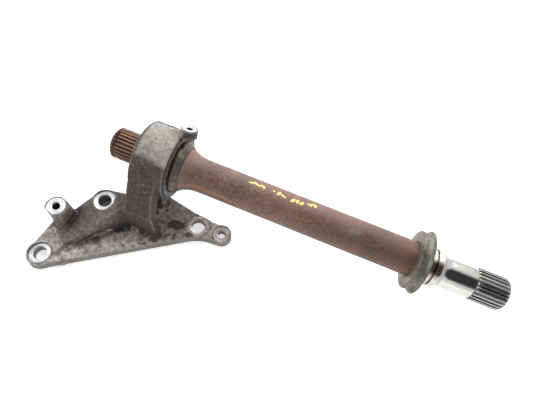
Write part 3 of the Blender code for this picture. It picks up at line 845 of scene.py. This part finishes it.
def convex(x: Array, y: Array, corners: tuple[tuple[float, float], ...]) -> Array:
    """Flat distance bound of a convex outline, its corners listed counterclockwise.

    Args:
        x: First coordinate.
        y: Second coordinate.
        corners: The outline.

    Returns:
        The largest distance beyond any side's line.
    """
    result = None
    for (ax, ay), (bx, by) in zip(corners, corners[1:] + corners[:1]):
        length = math.hypot(bx - ax, by - ay)
        side = ((x - ax) * (by - ay) - (y - ay) * (bx - ax)) / length
        result = side if result is None else np.maximum(result, side)
    return result


def slab(flat: Array, z: Array, low: float, high: float, corner: float) -> Array:
    """Raise a flat field into a plate with rounded rims.

    Args:
        flat: Distance in the plane.
        z: Height.
        low: The plate's underside.
        high: The plate's top.
        corner: Radius of its rims.

    Returns:
        Length of the two outward parts of (flat, height) beyond a shrunken section, less
        the corner radius.
    """
    u = flat + corner
    v = np.abs(z - (low + high) / 2.0) - (high - low) / 2.0 + corner
    inside = np.minimum(np.maximum(u, v), 0.0)
    return inside + np.hypot(np.maximum(u, 0.0), np.maximum(v, 0.0)) - corner


def pad_hull(x: Array, y: Array, pads: tuple[tuple[float, float, float], ...]) -> Array:
    """Flat distance bound of the hull of round pads.

    Args:
        x: First coordinate.
        y: Second coordinate.
        pads: Centre and radius of each pad.

    Returns:
        Over many directions, the largest distance beyond the hull's furthest line that way,
        which is the largest of each pad's centre along it plus its radius. The directions
        are even ones and those square to each side shared by two pads.
    """
    centres = np.array(pads)
    angles = list(np.linspace(0.0, 2.0 * np.pi, 48, endpoint=False))
    for i, first in enumerate(centres):
        for second in centres[i + 1 :]:
            dx, dy = second[:2] - first[:2]
            swing = math.acos((first[2] - second[2]) / math.hypot(dx, dy))
            angles += [math.atan2(dy, dx) + swing, math.atan2(dy, dx) - swing]
    result = None
    for angle in angles:
        cos, sin = math.cos(angle), math.sin(angle)
        reach = float((centres[:, 0] * cos + centres[:, 1] * sin + centres[:, 2]).max())
        side = x * cos + y * sin - reach
        result = side if result is None else np.maximum(result, side)
    return result


@dataclass
class Casting:
    """The cast bracket as one distance field, meshed at an even step."""

    plate_top: float = 11.0
    housing_radius: float = 40.0
    housing_left: float = -19.5
    housing_right: float = 20.3
    post_top: float = 42.0
    web_seat: float = 29.5
    step: float = 0.95

    left: tuple[float, float] = (-86.3, -86.6)
    right: tuple[float, float] = (59.3, 14.5)
    web: tuple[float, float] = (-48.2, -7.5)
    tip: tuple[float, float] = (89.6, 16.2)
    post: tuple[float, float] = (-85.8, -39.3)

    def plate(self, x: Array, y: Array, z: Array) -> Array:
        """Flat plate: hulls of round pads with a little draft, joined with small fillets."""
        shoulder = pad_hull(x, y, ((*self.left, 15.2), (-85.8, -44.0, 11.0), (-64.0, -50.0, 16.0)))
        body = pad_hull(
            x,
            y,
            (
                (*self.left, 15.0),
                (*self.right, 14.0),
                (20.0, 17.0, 15.0),
                (8.0, 25.0, 12.5),
                (-24.0, 0.0, 22.0),
                (-64.0, -46.0, 14.0),
            ),
        )
        tip = pad_hull(x, y, ((*self.right, 12.8), (*self.tip, 12.0)))
        flat = smooth_union(smooth_union(body, shoulder, 2.0), tip, 7.0)
        return slab(flat + np.clip(z, 0.0, self.plate_top) * 0.16 - 0.3, z, 0.0, self.plate_top, 0.9)

    def pads(self, x: Array, y: Array, z: Array) -> Array:
        """Raised rims round the plate's left and tip holes."""
        left = slab(np.hypot(x - self.left[0], y - self.left[1]) - 14.6, z, 0.0, 12.2, 1.2)
        tip = slab(np.hypot(x - self.tip[0], y - self.tip[1]) - 11.6, z, 0.0, 12.0, 1.2)
        return np.minimum(left, tip)

    def ramp(self, x: Array, y: Array, z: Array) -> Array:
        """Web that climbs from the left arm to the column.

        Its top is the plane through its corner heights by least squares, and a round rib
        runs up its front edge.
        """
        corners = np.array(
            [
                (-89.0, -54.0, 17.0),
                (-69.5, -56.0, 14.5),
                (-44.5, -44.8, 26.0),
                (-30.5, -26.8, 34.5),
                (-13.8, -9.0, 45.0),
                (-17.0, 6.0, 40.0),
                (-48.2, -7.5, 31.5),
                (-72.7, -28.6, 22.5),
            ]
        )
        system = np.column_stack([corners[:, :2], np.ones(len(corners))])
        slope_x, slope_y, level = np.linalg.lstsq(system, corners[:, 2], rcond=None)[0]
        top = (z - (slope_x * x + slope_y * y + level)) / math.sqrt(1.0 + slope_x**2 + slope_y**2)
        outline = (
            (-88.5, -55.0),
            (-66.5, -69.0),
            (-11.0, -10.0),
            (-11.0, 8.0),
            (-30.3, 6.6),
            (-46.0, 6.2),
            (-59.5, 1.0),
            (-75.5, -25.0),
        )
        flat = convex(x, y, outline)
        u, v = flat + 1.6, top + 1.6
        body = np.minimum(np.maximum(u, v), 0.0) + np.hypot(np.maximum(u, 0.0), np.maximum(v, 0.0)) - 1.6
        body = np.maximum(body, -z)
        pad = slab(np.hypot(x - self.web[0], y - self.web[1]) - 14.4, z, 0.0, 30.4, 1.0)
        body = smooth_union(body, pad, 2.5)
        start, end = np.array([-66.0, -67.0, 7.0]), np.array([-12.0, -6.0, 45.5])
        along = end - start
        px, py, pz = x - start[0], y - start[1], z - start[2]
        t = np.clip((px * along[0] + py * along[1] + pz * along[2]) / float(along @ along), 0.0, 1.0)
        off = (px - t * along[0]) ** 2 + (py - t * along[1]) ** 2 + (pz - t * along[2]) ** 2
        return smooth_union(body, np.sqrt(off) - 3.4, 4.0)

    def tall_post(self, x: Array, y: Array, z: Array) -> Array:
        """Post with a round outer side and a square inner one, a little wider at its foot."""
        cx, cy = self.post
        angle = np.radians(np.arange(55.0, 300.0, 16.0))
        arc = tuple((cx + 12.6 * math.cos(a), cy + 12.6 * math.sin(a)) for a in angle)
        outline = (*arc, (cx + 10.8, cy - 13.2), (cx + 14.0, cy + 8.7))
        flat = convex(x, y, outline) - (self.post_top - z) * 0.035
        return slab(flat, z, 0.0, self.post_top, 1.3)

    def column(self, x: Array, y: Array, z: Array) -> Array:
        """Column under the housing and the tapering wall in front of it."""
        back = ((34.0, 0.0), (76.0, 40.0), (84.0, 66.0), (60.0, 92.0))
        section = convex(y, z, ((-15.0, 0.0), *back, (13.5, 84.3), (-13.0, 45.0)))
        waist = 2.0 * np.exp(-(((z - 44.0) / 16.0) ** 2))
        thick = np.maximum(-16.2 + waist - x, x + 4.0)
        main = np.maximum(section, thick)
        lower = convex(y, z, ((-17.5, 0.0), (-6.0, 0.0), (-2.5, 47.0), (-14.5, 45.0)))
        upper = convex(y, z, ((-14.5, 45.0), (-2.5, 43.0), (30.0, 74.0), (13.5, 84.3)))
        front = smooth_union(lower, upper, 2.0)
        reach = np.interp(z, (11.0, 35.0, 51.0, 60.0, 75.0, 88.0), (19.7, 17.9, 15.5, 12.9, 13.3, 11.5))
        wall = np.maximum(front, np.maximum(-16.2 + waist - x, (x - reach) * 0.98))
        return smooth_union(main, wall, 4.0)

    def housing(self, x: Array, y: Array, z: Array) -> Array:
        """Bearing housing: a drum with a bevelled outboard rim."""
        radius = np.hypot(y - AXIS_Y, z - AXIS_Z)
        drum = slab(radius - self.housing_radius, x, self.housing_left, self.housing_right, 1.0)
        bevel = (radius - self.housing_radius + 2.6 - (x - self.housing_left)) * 0.7071
        return np.maximum(drum, bevel)

    def ear_frame(self, y: Array, z: Array) -> tuple[Array, Array]:
        """Return how far out from the axis along the ear, and how far to its side."""
        sin, cos = math.sin(EAR_TILT), math.cos(EAR_TILT)
        return (y - AXIS_Y) * sin + (z - AXIS_Z) * cos, (y - AXIS_Y) * cos - (z - AXIS_Z) * sin

    def ear(self, x: Array, y: Array, z: Array) -> Array:
        """Ear on the housing's inboard end, on a short sloping neck."""
        out, side = self.ear_frame(y, z)
        u = x - EAR_X
        head = slab(np.hypot(u, side) - 9.5, out, 40.0, EAR_FACE, 0.8)
        t = np.clip(-u / 17.0, 0.0, 1.0)
        neck = np.sqrt((u + 17.0 * t) ** 2 + side**2 + (out - 41.5 + 5.0 * t) ** 2) - (6.6 - t)
        return smooth_union(head, neck, 3.0)

    def field(self, x: Array, y: Array, z: Array) -> Array:
        """Distance field of the whole casting, its cuts made last so that they stay crisp."""
        solid = smooth_union(self.plate(x, y, z), self.pads(x, y, z), 1.0)
        solid = smooth_union(solid, self.ramp(x, y, z), 4.0)
        solid = smooth_union(solid, self.tall_post(x, y, z), 3.0)
        solid = smooth_union(solid, self.column(x, y, z), 7.0)
        solid = smooth_union(solid, self.housing(x, y, z), 5.0)
        solid = smooth_union(solid, self.ear(x, y, z), 3.0)
        lug = slab(np.hypot(x + 62.0, y + 84.0) - 4.8, z, 0.6, 8.0, 1.2)
        solid = smooth_union(solid, lug, 2.0)
        return np.maximum(np.maximum(solid, -self.cuts(x, y, z)), -z)

    def cuts(self, x: Array, y: Array, z: Array) -> Array:
        """Union of everything machined away."""
        radius = np.hypot(y - AXIS_Y, z - AXIS_Z)
        # Each bore is a radius, and where it starts and ends along the axis.
        bores = (
            (28.3, -40.0, -7.0),
            (30.3, -40.0, -12.5),
            (34.3, -7.8, 60.0),
            (35.9, 8.0, 10.2),
            (38.9, self.housing_right, 60.0),
        )
        cut = None
        for r, low, high in bores:
            bore = np.maximum(radius - r, np.maximum(low - x, x - high))
            cut = bore if cut is None else np.minimum(cut, bore)
        # Each bolt hole is a centre, its seat's height and radius, and its own radius.
        for centre, seat, seat_r, hole in (
            (self.left, 10.0, 11.8, 7.2),
            (self.right, 10.0, 14.6, 8.2),
            (self.tip, 10.6, 10.3, 4.3),
            (self.web, self.web_seat, 12.6, 7.2),
            (self.post, self.post_top + 2.0, 8.0, 4.1),
        ):
            blind = centre == self.post
            flat = np.hypot(x - centre[0], y - centre[1])
            room = 20.0 if seat > 20.0 else 3.5
            cut = np.minimum(cut, np.maximum(flat - seat_r, np.maximum(seat - z, z - seat - room)))
            low = self.post_top - 22.0 if blind else -5.0
            top = seat - 2.0 if blind else seat
            hole_cut = np.maximum(flat - hole - np.clip(z - top + 0.9, 0.0, 1.2), low - z)
            cut = np.minimum(cut, np.maximum(hole_cut, z - seat - room))
        out, side = self.ear_frame(y, z)
        tapped = np.maximum(np.hypot(x - EAR_X, side) - 3.3, EAR_FACE - 7.0 - out)
        return np.minimum(cut, tapped)

    def mesh(self) -> tuple[Array, Array]:
        """Mesh the field by surface nets.

        Returns:
            Points and quads. Each cell the surface crosses gets one point, the mean of the
            crossings on its twelve sides, and each crossed grid line joins its four cells.
            Two steps along the field's slope then put every point on the surface.
        """
        spans = [(-105.0, 105.0), (-105.0, 96.0), (-3.0, 125.0)]
        axes = [np.arange(low, high, self.step, dtype=np.float32) for low, high in spans]
        x, y, z = np.meshgrid(*axes, indexing="ij", sparse=True)
        values = np.broadcast_to(self.field(x, y, z), [len(a) for a in axes]).astype(np.float32)
        inside = values < 0.0
        cells = tuple(n - 1 for n in values.shape)
        total = np.zeros((*cells, 3), np.float32)
        count = np.zeros(cells, np.float32)
        for axis in range(3):
            others = [a for a in range(3) if a != axis]
            for i in (0, 1):
                for j in (0, 1):
                    low = [slice(0, -1)] * 3
                    high = [slice(0, -1)] * 3
                    high[axis] = slice(1, None)
                    for other, shift in zip(others, (i, j)):
                        part = slice(shift, values.shape[other] - 1 + shift)
                        low[other] = high[other] = part
                    a, b = values[tuple(low)], values[tuple(high)]
                    crossed = inside[tuple(low)] != inside[tuple(high)]
                    t = np.where(crossed, a / np.where(crossed, a - b, 1.0), 0.0)
                    total[..., axis] += t
                    total[..., others[0]] += crossed * i
                    total[..., others[1]] += crossed * j
                    count += crossed
        active = count > 0
        number = np.full(cells, -1, np.int64)
        number[active] = np.arange(int(active.sum()))
        corner = np.argwhere(active)
        points = (corner + total[active] / count[active][:, None]) * self.step
        points += np.array([low for low, _ in spans])
        faces = []
        for axis in range(3):
            others = [a for a in range(3) if a != axis]
            low, high = [slice(1, -1)] * 3, [slice(1, -1)] * 3
            low[axis], high[axis] = slice(0, -1), slice(1, None)
            first, second = inside[tuple(low)], inside[tuple(high)]
            at = np.argwhere(first != second)
            flip = first[first != second]
            at[:, others[0]] += 1
            at[:, others[1]] += 1
            ring = []
            for i, j in ((0, 0), (1, 0), (1, 1), (0, 1)):
                cell = at.copy()
                cell[:, others[0]] -= i
                cell[:, others[1]] -= j
                ring.append(number[cell[:, 0], cell[:, 1], cell[:, 2]])
            quad = np.stack(ring, axis=-1)
            if axis == 1:
                flip = ~flip
            faces.append(np.where(flip[:, None], quad, quad[:, ::-1]))
        for _ in range(2):
            value, slope = self.slope(points, 0.05)
            size = np.maximum(np.einsum("ij,ij->i", slope, slope), 0.3)
            move = slope * (value / size)[:, None]
            points = points - np.clip(move, -0.4 * self.step, 0.4 * self.step)
        return points, np.concatenate(faces)

    def slope(self, points: Array, reach: float) -> tuple[Array, Array]:
        """Return the field and its slope at some points, by differences over reach."""
        slope = np.empty_like(points)
        for axis in range(3):
            shift = np.zeros(3)
            shift[axis] = reach
            ahead, behind = points + shift, points - shift
            slope[:, axis] = (self.field(*ahead.T) - self.field(*behind.T)) / (2.0 * reach)
        return self.field(*points.T), slope

    def bend(self, points: Array, reach: float) -> Array:
        """Return how the surface bends: above zero on an edge, below zero in a corner.

        It is the mean of the field at six points at the given reach, less its value.
        """
        mean = np.zeros(len(points))
        for axis in range(3):
            for sign in (-1.0, 1.0):
                shift = np.zeros(3)
                shift[axis] = sign * reach
                mean += self.field(*(points + shift).T) / 6.0
        return (mean - self.field(*points.T)) / reach

    def in_bolt_hole(self, points: Array) -> Array:
        """Return which points lie on the wall of a through hole."""
        inside = np.zeros(len(points), bool)
        for centre, reach in ((self.left, 8.0), (self.right, 9.0), (self.tip, 5.0), (self.web, 8.0)):
            inside |= np.hypot(points[:, 0] - centre[0], points[:, 1] - centre[1]) < reach
        return inside

    # The painted shade in closed-in places is read from this.
    def closeness(self, points: Array) -> Array:
        """Return how closed in each point is, 0 to 1.

        The field is read at four steps out along the slope. In the open it equals the step,
        so one less their ratio grows where another wall is near.
        """
        slope = self.slope(points, 0.4)[1]
        normal = slope / np.maximum(np.linalg.norm(slope, axis=1), 1e-6)[:, None]
        total = np.zeros(len(points))
        for step in (3.0, 7.0, 13.0, 20.0):
            total += 1.0 - np.clip(self.field(*(points + normal * step).T) / step, 0.0, 1.0)
        return np.clip(total / 4.0 * 1.5 - 0.22, 0.0, 1.0)

    def build(self) -> None:
        """Mesh and dress the casting."""
        points, quads = self.mesh()
        bend = self.bend(points, 2.0)
        hole_wall = self.in_bolt_hole(points)
        # Hole walls get full edge wear and none of the painted shade for closed-in places.
        fields = {
            "edge": np.where(hole_wall, 1.0, np.clip(bend * 5.0 - 0.25, 0.0, 1.0)),
            "occlusion_shade": np.where(hole_wall, 0.0, self.closeness(points)),
        }
        make_piece(
            "cast_bracket",
            points,
            quads,
            CastFinish("cast_aluminium_skin"),
            Body.BRACKET,
            ("bracket",),
            sharp=60.0,
            fields=fields,
        )


# Turned pieces


DULL_ZINC = MetalFinish(
    "dull_zinc", (0.2, 0.195, 0.168, 1.0), (0.06, 0.053, 0.042, 1.0), 0.6, 0.44, 0.66, 0.6
)
STAINED = MetalFinish(
    "stained_steel", (0.07, 0.06, 0.05, 1.0), (0.3, 0.25, 0.18, 1.0), 0.3, 0.55, 0.7, 0.2
)
SPRING = MetalFinish(
    "phosphated_spring", (0.1, 0.095, 0.09, 1.0), (0.2, 0.09, 0.05, 1.0), 0.4, 0.4, 0.7, 0.9
)
PRESSED = MetalFinish(
    "pressed_case_steel", (0.3, 0.29, 0.28, 1.0), (0.12, 0.08, 0.06, 1.0), 0.5, 0.4, 0.6, 0.9
)
BEARING = MetalFinish(
    "bearing_steel_ground", (0.6, 0.6, 0.6, 1.0), (0.4, 0.38, 0.34, 1.0), 0.1, 0.12, 0.3
)
CAGE = MetalFinish(
    "moulded_cage", (0.4, 0.29, 0.11, 1.0), (0.3, 0.2, 0.08, 1.0), 0.3, 0.45, 0.6, 0.0
)


@dataclass
class TurnedRing:
    """A ring turned from a closed profile of (x, r) corners."""

    name: str
    corners: list[tuple[float, float]]
    finish: Finish
    body: Body
    slot: str
    node: str
    rounding: float = 0.4
    sides: int = 192

    def build(self) -> None:
        """Round the profile, revolve it and dress it."""
        profile = soften(self.corners, self.rounding, True)
        points, quads = revolve(profile, self.sides, True)
        make_piece(self.name, points, quads, self.finish, self.body, (self.node,))


@dataclass
class Stub:
    """A solid shaft end: plain stations, and splined ones with trapezoid teeth."""

    name: str
    stations: list[tuple[float, float, float]]
    depth: float
    finish: Finish
    slot: str
    node: str
    per_tooth: int = 14
    drill: float = 3.5

    def teeth(self, angle: Array) -> Array:
        """Tooth height, 0 to 1, round the circle: a triangle wave with its ends cut flat."""
        part = np.abs(2.0 * np.mod(angle * TEETH / (2.0 * np.pi) - 0.43, 1.0) - 1.0)
        t = np.clip((part - 0.34) / 0.3, 0.0, 1.0)
        return t * t * (3.0 - 2.0 * t) * 0.4 + t * 0.6

    def build(self) -> None:
        """Fill in stations, raise the teeth and close the ends with centre drillings.

        A point's radius is its station's radius, less the tooth depth times how splined the
        station is, times one less the tooth height at its angle.
        """
        x0, x1 = self.stations[0][0], self.stations[-1][0]
        head = [(x0 + self.drill, 0.0, 0.0), (x0, self.drill, 0.0)]
        tail = [(x1, self.drill, 0.0), (x1 - self.drill, 0.0, 0.0)]
        table = np.array(head + self.stations + tail)
        gaps = np.hypot(np.diff(table[:, 0]), np.diff(table[:, 1]))
        place = np.concatenate([[0.0], np.cumsum(gaps)])
        wide = gaps > 0.2
        extra = (place[:-1, None] + gaps[:, None] * np.array([0.18, 0.82]))[wide].ravel()
        rounds = np.unique(np.round(np.concatenate([place, extra]), 4))
        x = np.interp(rounds, place, table[:, 0])
        radius = np.interp(rounds, place, table[:, 1])
        splined = np.interp(rounds, place, table[:, 2])
        angle = np.linspace(0.0, 2.0 * np.pi, TEETH * self.per_tooth, endpoint=False)[None, :]
        drop = self.depth * splined[:, None] * (1.0 - self.teeth(angle))
        grid = np.broadcast_to(radius[:, None], (len(x), angle.size)) - drop
        points, quads = from_radii(x, grid, angle, False)
        make_piece(self.name, points, quads, self.finish, Body.SHAFT, (self.node,), sharp=32.0)


@dataclass
class SplitRing:
    """An open spring ring of rounded rectangular section."""

    name: str
    x: tuple[float, float]
    radii: tuple[float, float]
    gap: float
    finish: Finish
    body: Body
    slot: str
    node: str

    def build(self) -> None:
        """Carry the section round most of a circle and close both ends.

        Row i of the grid is the section at angle a_i; the first and last rows are repeated
        at a point, so that the ends are closed.
        """
        (x0, x1), (r0, r1) = self.x, self.radii
        section = soften([(x0, r0), (x1, r0), (x1, r1), (x0, r1)], 0.3, True)
        middle = section.mean(axis=0)
        angle = np.linspace(self.gap / 2.0, 2.0 * np.pi - self.gap / 2.0, 120)
        angle = np.concatenate([angle[:1], angle, angle[-1:]])
        profile = np.broadcast_to(section, (len(angle), *section.shape)).copy()
        profile[0], profile[-1] = middle, middle
        points = np.stack(
            [
                profile[..., 0],
                AXIS_Y + profile[..., 1] * np.sin(angle)[:, None],
                AXIS_Z + profile[..., 1] * np.cos(angle)[:, None],
            ],
            axis=-1,
        ).reshape(-1, 3)
        points, quads = close_ends(points, len(angle), len(section))
        make_piece(self.name, points, quads, self.finish, self.body, (self.node,))


@dataclass
class Shaft:
    """Everything that turns with the shaft and can be seen."""

    outboard_x: float = -56.5
    inboard_x: float = 396.5
    tube_radius: float = TUBE_RADIUS
    tube_start: float = 32.0
    tube_end: float = 299.5

    def build(self) -> None:
        """Build stubs, tube, shield, slinger and stop ring."""
        self.outboard()
        self.tube()
        self.inboard()
        self.rings()

    def outboard(self) -> None:
        """Rusty splined stub with its stop-ring groove."""
        x0 = self.outboard_x
        end = ((0.0, 15.6, 0.0), (0.3, 16.2, 0.0), (1.8, 18.0, 1.0), (3.9, 18.0, 1.0))
        groove = ((4.2, 15.9, 0.0), (6.6, 15.9, 0.0), (6.9, 18.0, 1.0))
        stations = [(x0 + x, radius, splined) for x, radius, splined in (*end, *groove)]
        stations += [(-26.0, 18.0, 1.0)]
        plain = (
            (-24.0, 18.5), (-13.5, 18.5), (-12.8, 19.7), (-10.9, 19.7), (-10.9, 18.3), (-8.8, 18.3),
            (-8.8, 19.7), (7.8, 19.7), (7.8, 23.0), (31.7, 23.0), (31.7, 20.6), (52.0, 15.7), (72.0, 15.7),
        )  # fmt: skip
        stations += [(x, radius, 0.0) for x, radius in plain]
        finish = SplineRustFinish("spline_rust")
        Stub("outboard_spline_end", stations, 1.6, finish, "rusty_forging", "outboard_stub").build()

    def tube(self) -> None:
        """Tube with its flare; the flare's radius falls off along an even curve."""
        t = np.linspace(0.0, 1.0, 26)
        flare = (1.0 - t) ** 2.3 * 5.55
        outer = [(self.tube_start + 21.0 * a, self.tube_radius + b) for a, b in zip(t, flare)]
        body = [(x, self.tube_radius) for x in np.linspace(60.0, self.tube_end - 0.6, 40)]
        tail = [(self.tube_end, self.tube_radius - 0.6), (self.tube_end, 16.05)]
        bore = [(self.tube_start + 20.3, 16.05), (self.tube_start, 21.0)]
        profile = np.array(outer + body + tail + bore)
        points, quads = revolve(profile, 220, True)
        finish = RustFinish("brown_rust")
        make_piece("rusty_tube", points, quads, finish, Body.SHAFT, ("shaft_tube",))

    def inboard(self) -> None:
        """Bright stub: grooved collar, cone, polished journal and spline."""
        collar, x1 = self.tube_end + 0.3, self.inboard_x
        stations = [(self.tube_end - 40.0, 15.7, 0.0)]
        grooved = (
            (0.0, 15.7), (0.0, 20.9), (9.8, 20.9), (10.1, 19.7), (12.0, 19.7), (12.3, 20.9), (15.8, 20.9),
            (16.1, 19.7), (17.8, 19.7), (18.1, 20.9), (23.9, 20.9), (24.4, 20.5), (27.4, 17.8), (27.9, 17.6),
        )  # fmt: skip
        stations += [(collar + x, radius, 0.0) for x, radius in grooved]
        end = ((34.8, 17.6, 0.0), (34.2, 17.2, 0.0), (33.0, 18.15, 1.0), (2.6, 18.15, 1.0))
        tip = ((0.4, 16.6, 0.0), (0.0, 16.0, 0.0))
        stations += [(x1 - x, radius, splined) for x, radius, splined in (*end, *tip)]
        finish = GroundSteelFinish("ground_steel_end")
        Stub("inboard_spline_end", stations, 1.6, finish, "ground_steel", "inboard_stub").build()

    def rings(self) -> None:
        """Dust shield, slinger and the stop ring in the spline's groove."""
        end = self.tube_end - 3.7
        shield = [
            (0.0, 19.9), (0.0, 31.4), (0.9, 32.8), (2.6, 32.8), (4.2, 32.2), (8.6, 33.0), (10.3, 35.6),
            (11.4, 35.6), (11.4, 34.3), (9.4, 31.4), (2.2, 30.8), (2.2, 19.9),
        ]  # fmt: skip
        shield = [(end + x, radius) for x, radius in shield]
        body = Body.SHAFT
        TurnedRing(
            "stamped_dust_shield", shield, DULL_ZINC, body, "zinc_shield", "dust_shield", 0.8
        ).build()
        slinger = [
            (23.0, 23.3), (31.5, 23.3), (31.5, 25.5), (30.4, 26.4), (27.4, 28.0), (25.4, 30.2), (23.0, 30.2)
        ]  # fmt: skip
        TurnedRing("slinger", slinger, STAINED, body, "stained_steel", "slinger_ring", 0.7).build()
        gap = math.radians(24.0)
        along, radii = (-51.9, -50.3), (16.2, 17.5)
        SplitRing(
            "stop_ring", along, radii, gap, SPRING, body, "spring_steel", "spline_stop_ring"
        ).build()


@dataclass
class Seals:
    """The housing's two seals."""

    def build(self) -> None:
        """Build cases and lips."""
        rubber = RubberFinish("black_seal_rubber")
        inboard = [
            (13.0, 23.35), (14.2, 23.35), (16.0, 26.0), (20.0, 26.6), (20.8, 30.6), (22.4, 31.4),
            (22.4, 37.4), (21.8, 38.3), (20.6, 38.3), (20.6, 32.6), (13.0, 32.6),
        ]  # fmt: skip
        outboard = [
            (-18.7, 21.5), (-17.2, 21.5), (-16.6, 18.85), (-15.4, 18.85), (-14.3, 21.0),
            (-14.3, 28.7), (-18.7, 28.7),
        ]  # fmt: skip
        case = [
            (-19.0, 29.0), (-14.0, 29.0), (-14.0, 22.0), (-13.0, 22.0), (-13.0, 30.0), (-19.0, 30.0)
        ]  # fmt: skip
        for name, corners, finish, slot, node, rounding in (
            ("inboard_seal", inboard, rubber, "black_rubber", "inboard_seal_lip", 0.5),
            ("outboard_seal", outboard, rubber, "black_rubber", "outboard_seal_lip", 0.5),
            ("outboard_case", case, PRESSED, "pressed_steel", "outboard_seal_case", 0.2),
        ):
            TurnedRing(name, corners, finish, Body.BRACKET, slot, node, rounding).build()


def dress_cad_nodes() -> None:
    """Give every CAD node that still shows its own worked-out finish."""
    for name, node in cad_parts.items():
        if node.hide_render:
            continue
        finish = BEARING
        if name == "bearing_cage":
            finish = CAGE
        elif "shield" in name or "case" in name:
            finish = PRESSED
        elif "circlip" in name:
            finish = SPRING
        node.data.materials.clear()
        node.data.materials.append(finish.material())
        LOG.info("%s keeps its CAD shape in %s", name, finish.name)


# Studio


@dataclass
class Studio:
    """Pale floor, soft light all round and the camera."""

    eye: tuple[float, float, float] = (0.163503, -0.158086, 0.459353)
    right: tuple[float, float, float] = (0.926297, 0.360927, 0.108192)
    up: tuple[float, float, float] = (-0.368067, 0.805299, 0.464779)
    lens: float = 27.017

    def build(self) -> None:
        """Make floor, lights, world and camera."""
        self.floor()
        self.lights()
        self.world()
        self.camera()

    def floor(self) -> None:
        """Lay a wide pale floor just under the mounting face."""
        mesh = bpy.data.meshes.new("floor")
        half, level = 4.0, -0.0012
        corners = [(x * half, y * half, level) for x, y in ((-1, -1), (1, -1), (1, 1), (-1, 1))]
        mesh.from_pydata(corners, [], [(0, 1, 2, 3)])
        floor = bpy.data.objects.new("floor", mesh)
        bpy.context.scene.collection.objects.link(floor)
        material = bpy.data.materials.new("pale_floor")
        material.use_nodes = True
        shader = material.node_tree.nodes["Principled BSDF"]
        shader.inputs["Base Color"].default_value = (0.93, 0.93, 0.93, 1.0)
        shader.inputs["Roughness"].default_value = 0.9
        shader.inputs["Specular IOR Level"].default_value = 0.1
        shader.inputs["Emission Color"].default_value = (1.0, 1.0, 1.0, 1.0)
        shader.inputs["Emission Strength"].default_value = 0.6
        mesh.materials.append(material)

    def lights(self) -> None:
        """Hang a broad panel above the back and a weaker one to the left."""
        for name, place, size, power in (
            ("back_panel", (0.1, 0.95, 0.75), 1.3, 15.0),
            ("left_panel", (-0.95, -0.25, 0.7), 0.9, 4.0),
        ):
            light = bpy.data.lights.new(name, "AREA")
            light.size = size
            light.energy = power
            lamp = bpy.data.objects.new(name, light)
            lamp.location = place
            aim = Vector((0.1, 0.0, 0.05)) - Vector(place)
            lamp.rotation_euler = aim.to_track_quat("-Z", "Y").to_euler()
            bpy.context.scene.collection.objects.link(lamp)

    def world(self) -> None:
        """Light from all round, dimmer straight above where the camera stands."""
        world = bpy.data.worlds.new("studio")
        bpy.context.scene.world = world
        world.use_nodes = True
        sheet = Sheet(world.node_tree)
        background = world.node_tree.nodes["Background"]
        direction = sheet.add("TexCoord").outputs["Generated"]
        camera_side = (0.0806, -0.4703, 0.8788)
        facing = sheet.add("VectorMath", {0: direction, 1: camera_side}, operation="DOT_PRODUCT")
        dark = sheet.ramp(facing.outputs["Value"], 0.62, 0.84)
        colour = sheet.mix(dark, (1.0, 1.0, 1.0, 1.0), (0.05, 0.05, 0.055, 1.0))
        world.node_tree.links.new(colour, background.inputs["Color"])
        background.inputs["Strength"].default_value = 1.0

    def camera(self) -> None:
        """Stand the camera where the shaft's circles and edges say it stood."""
        right, up = Vector(self.right).normalized(), Vector(self.up).normalized()
        back = right.cross(up)
        data = bpy.data.cameras.new("camera")
        data.lens = self.lens
        data.sensor_width = 36.0
        data.clip_start = 0.01
        camera = bpy.data.objects.new("camera", data)
        turn = Matrix((right, up, back)).transposed().to_4x4()
        camera.matrix_world = Matrix.Translation(Vector(self.eye)) @ turn
        bpy.context.scene.collection.objects.link(camera)
        bpy.context.scene.camera = camera
        bpy.context.scene.view_settings.view_transform = "Standard"


def write_sizes() -> None:
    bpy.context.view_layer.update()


def main() -> None:
    """Build every sub-assembly in order."""
    logging.basicConfig(level=logging.INFO, format="%(name)s: %(message)s")
    Casting().build()
    Shaft().build()
    Seals().build()
    dress_cad_nodes()
    Studio().build()
    write_sizes()


if __name__ == "__main__":
    main()
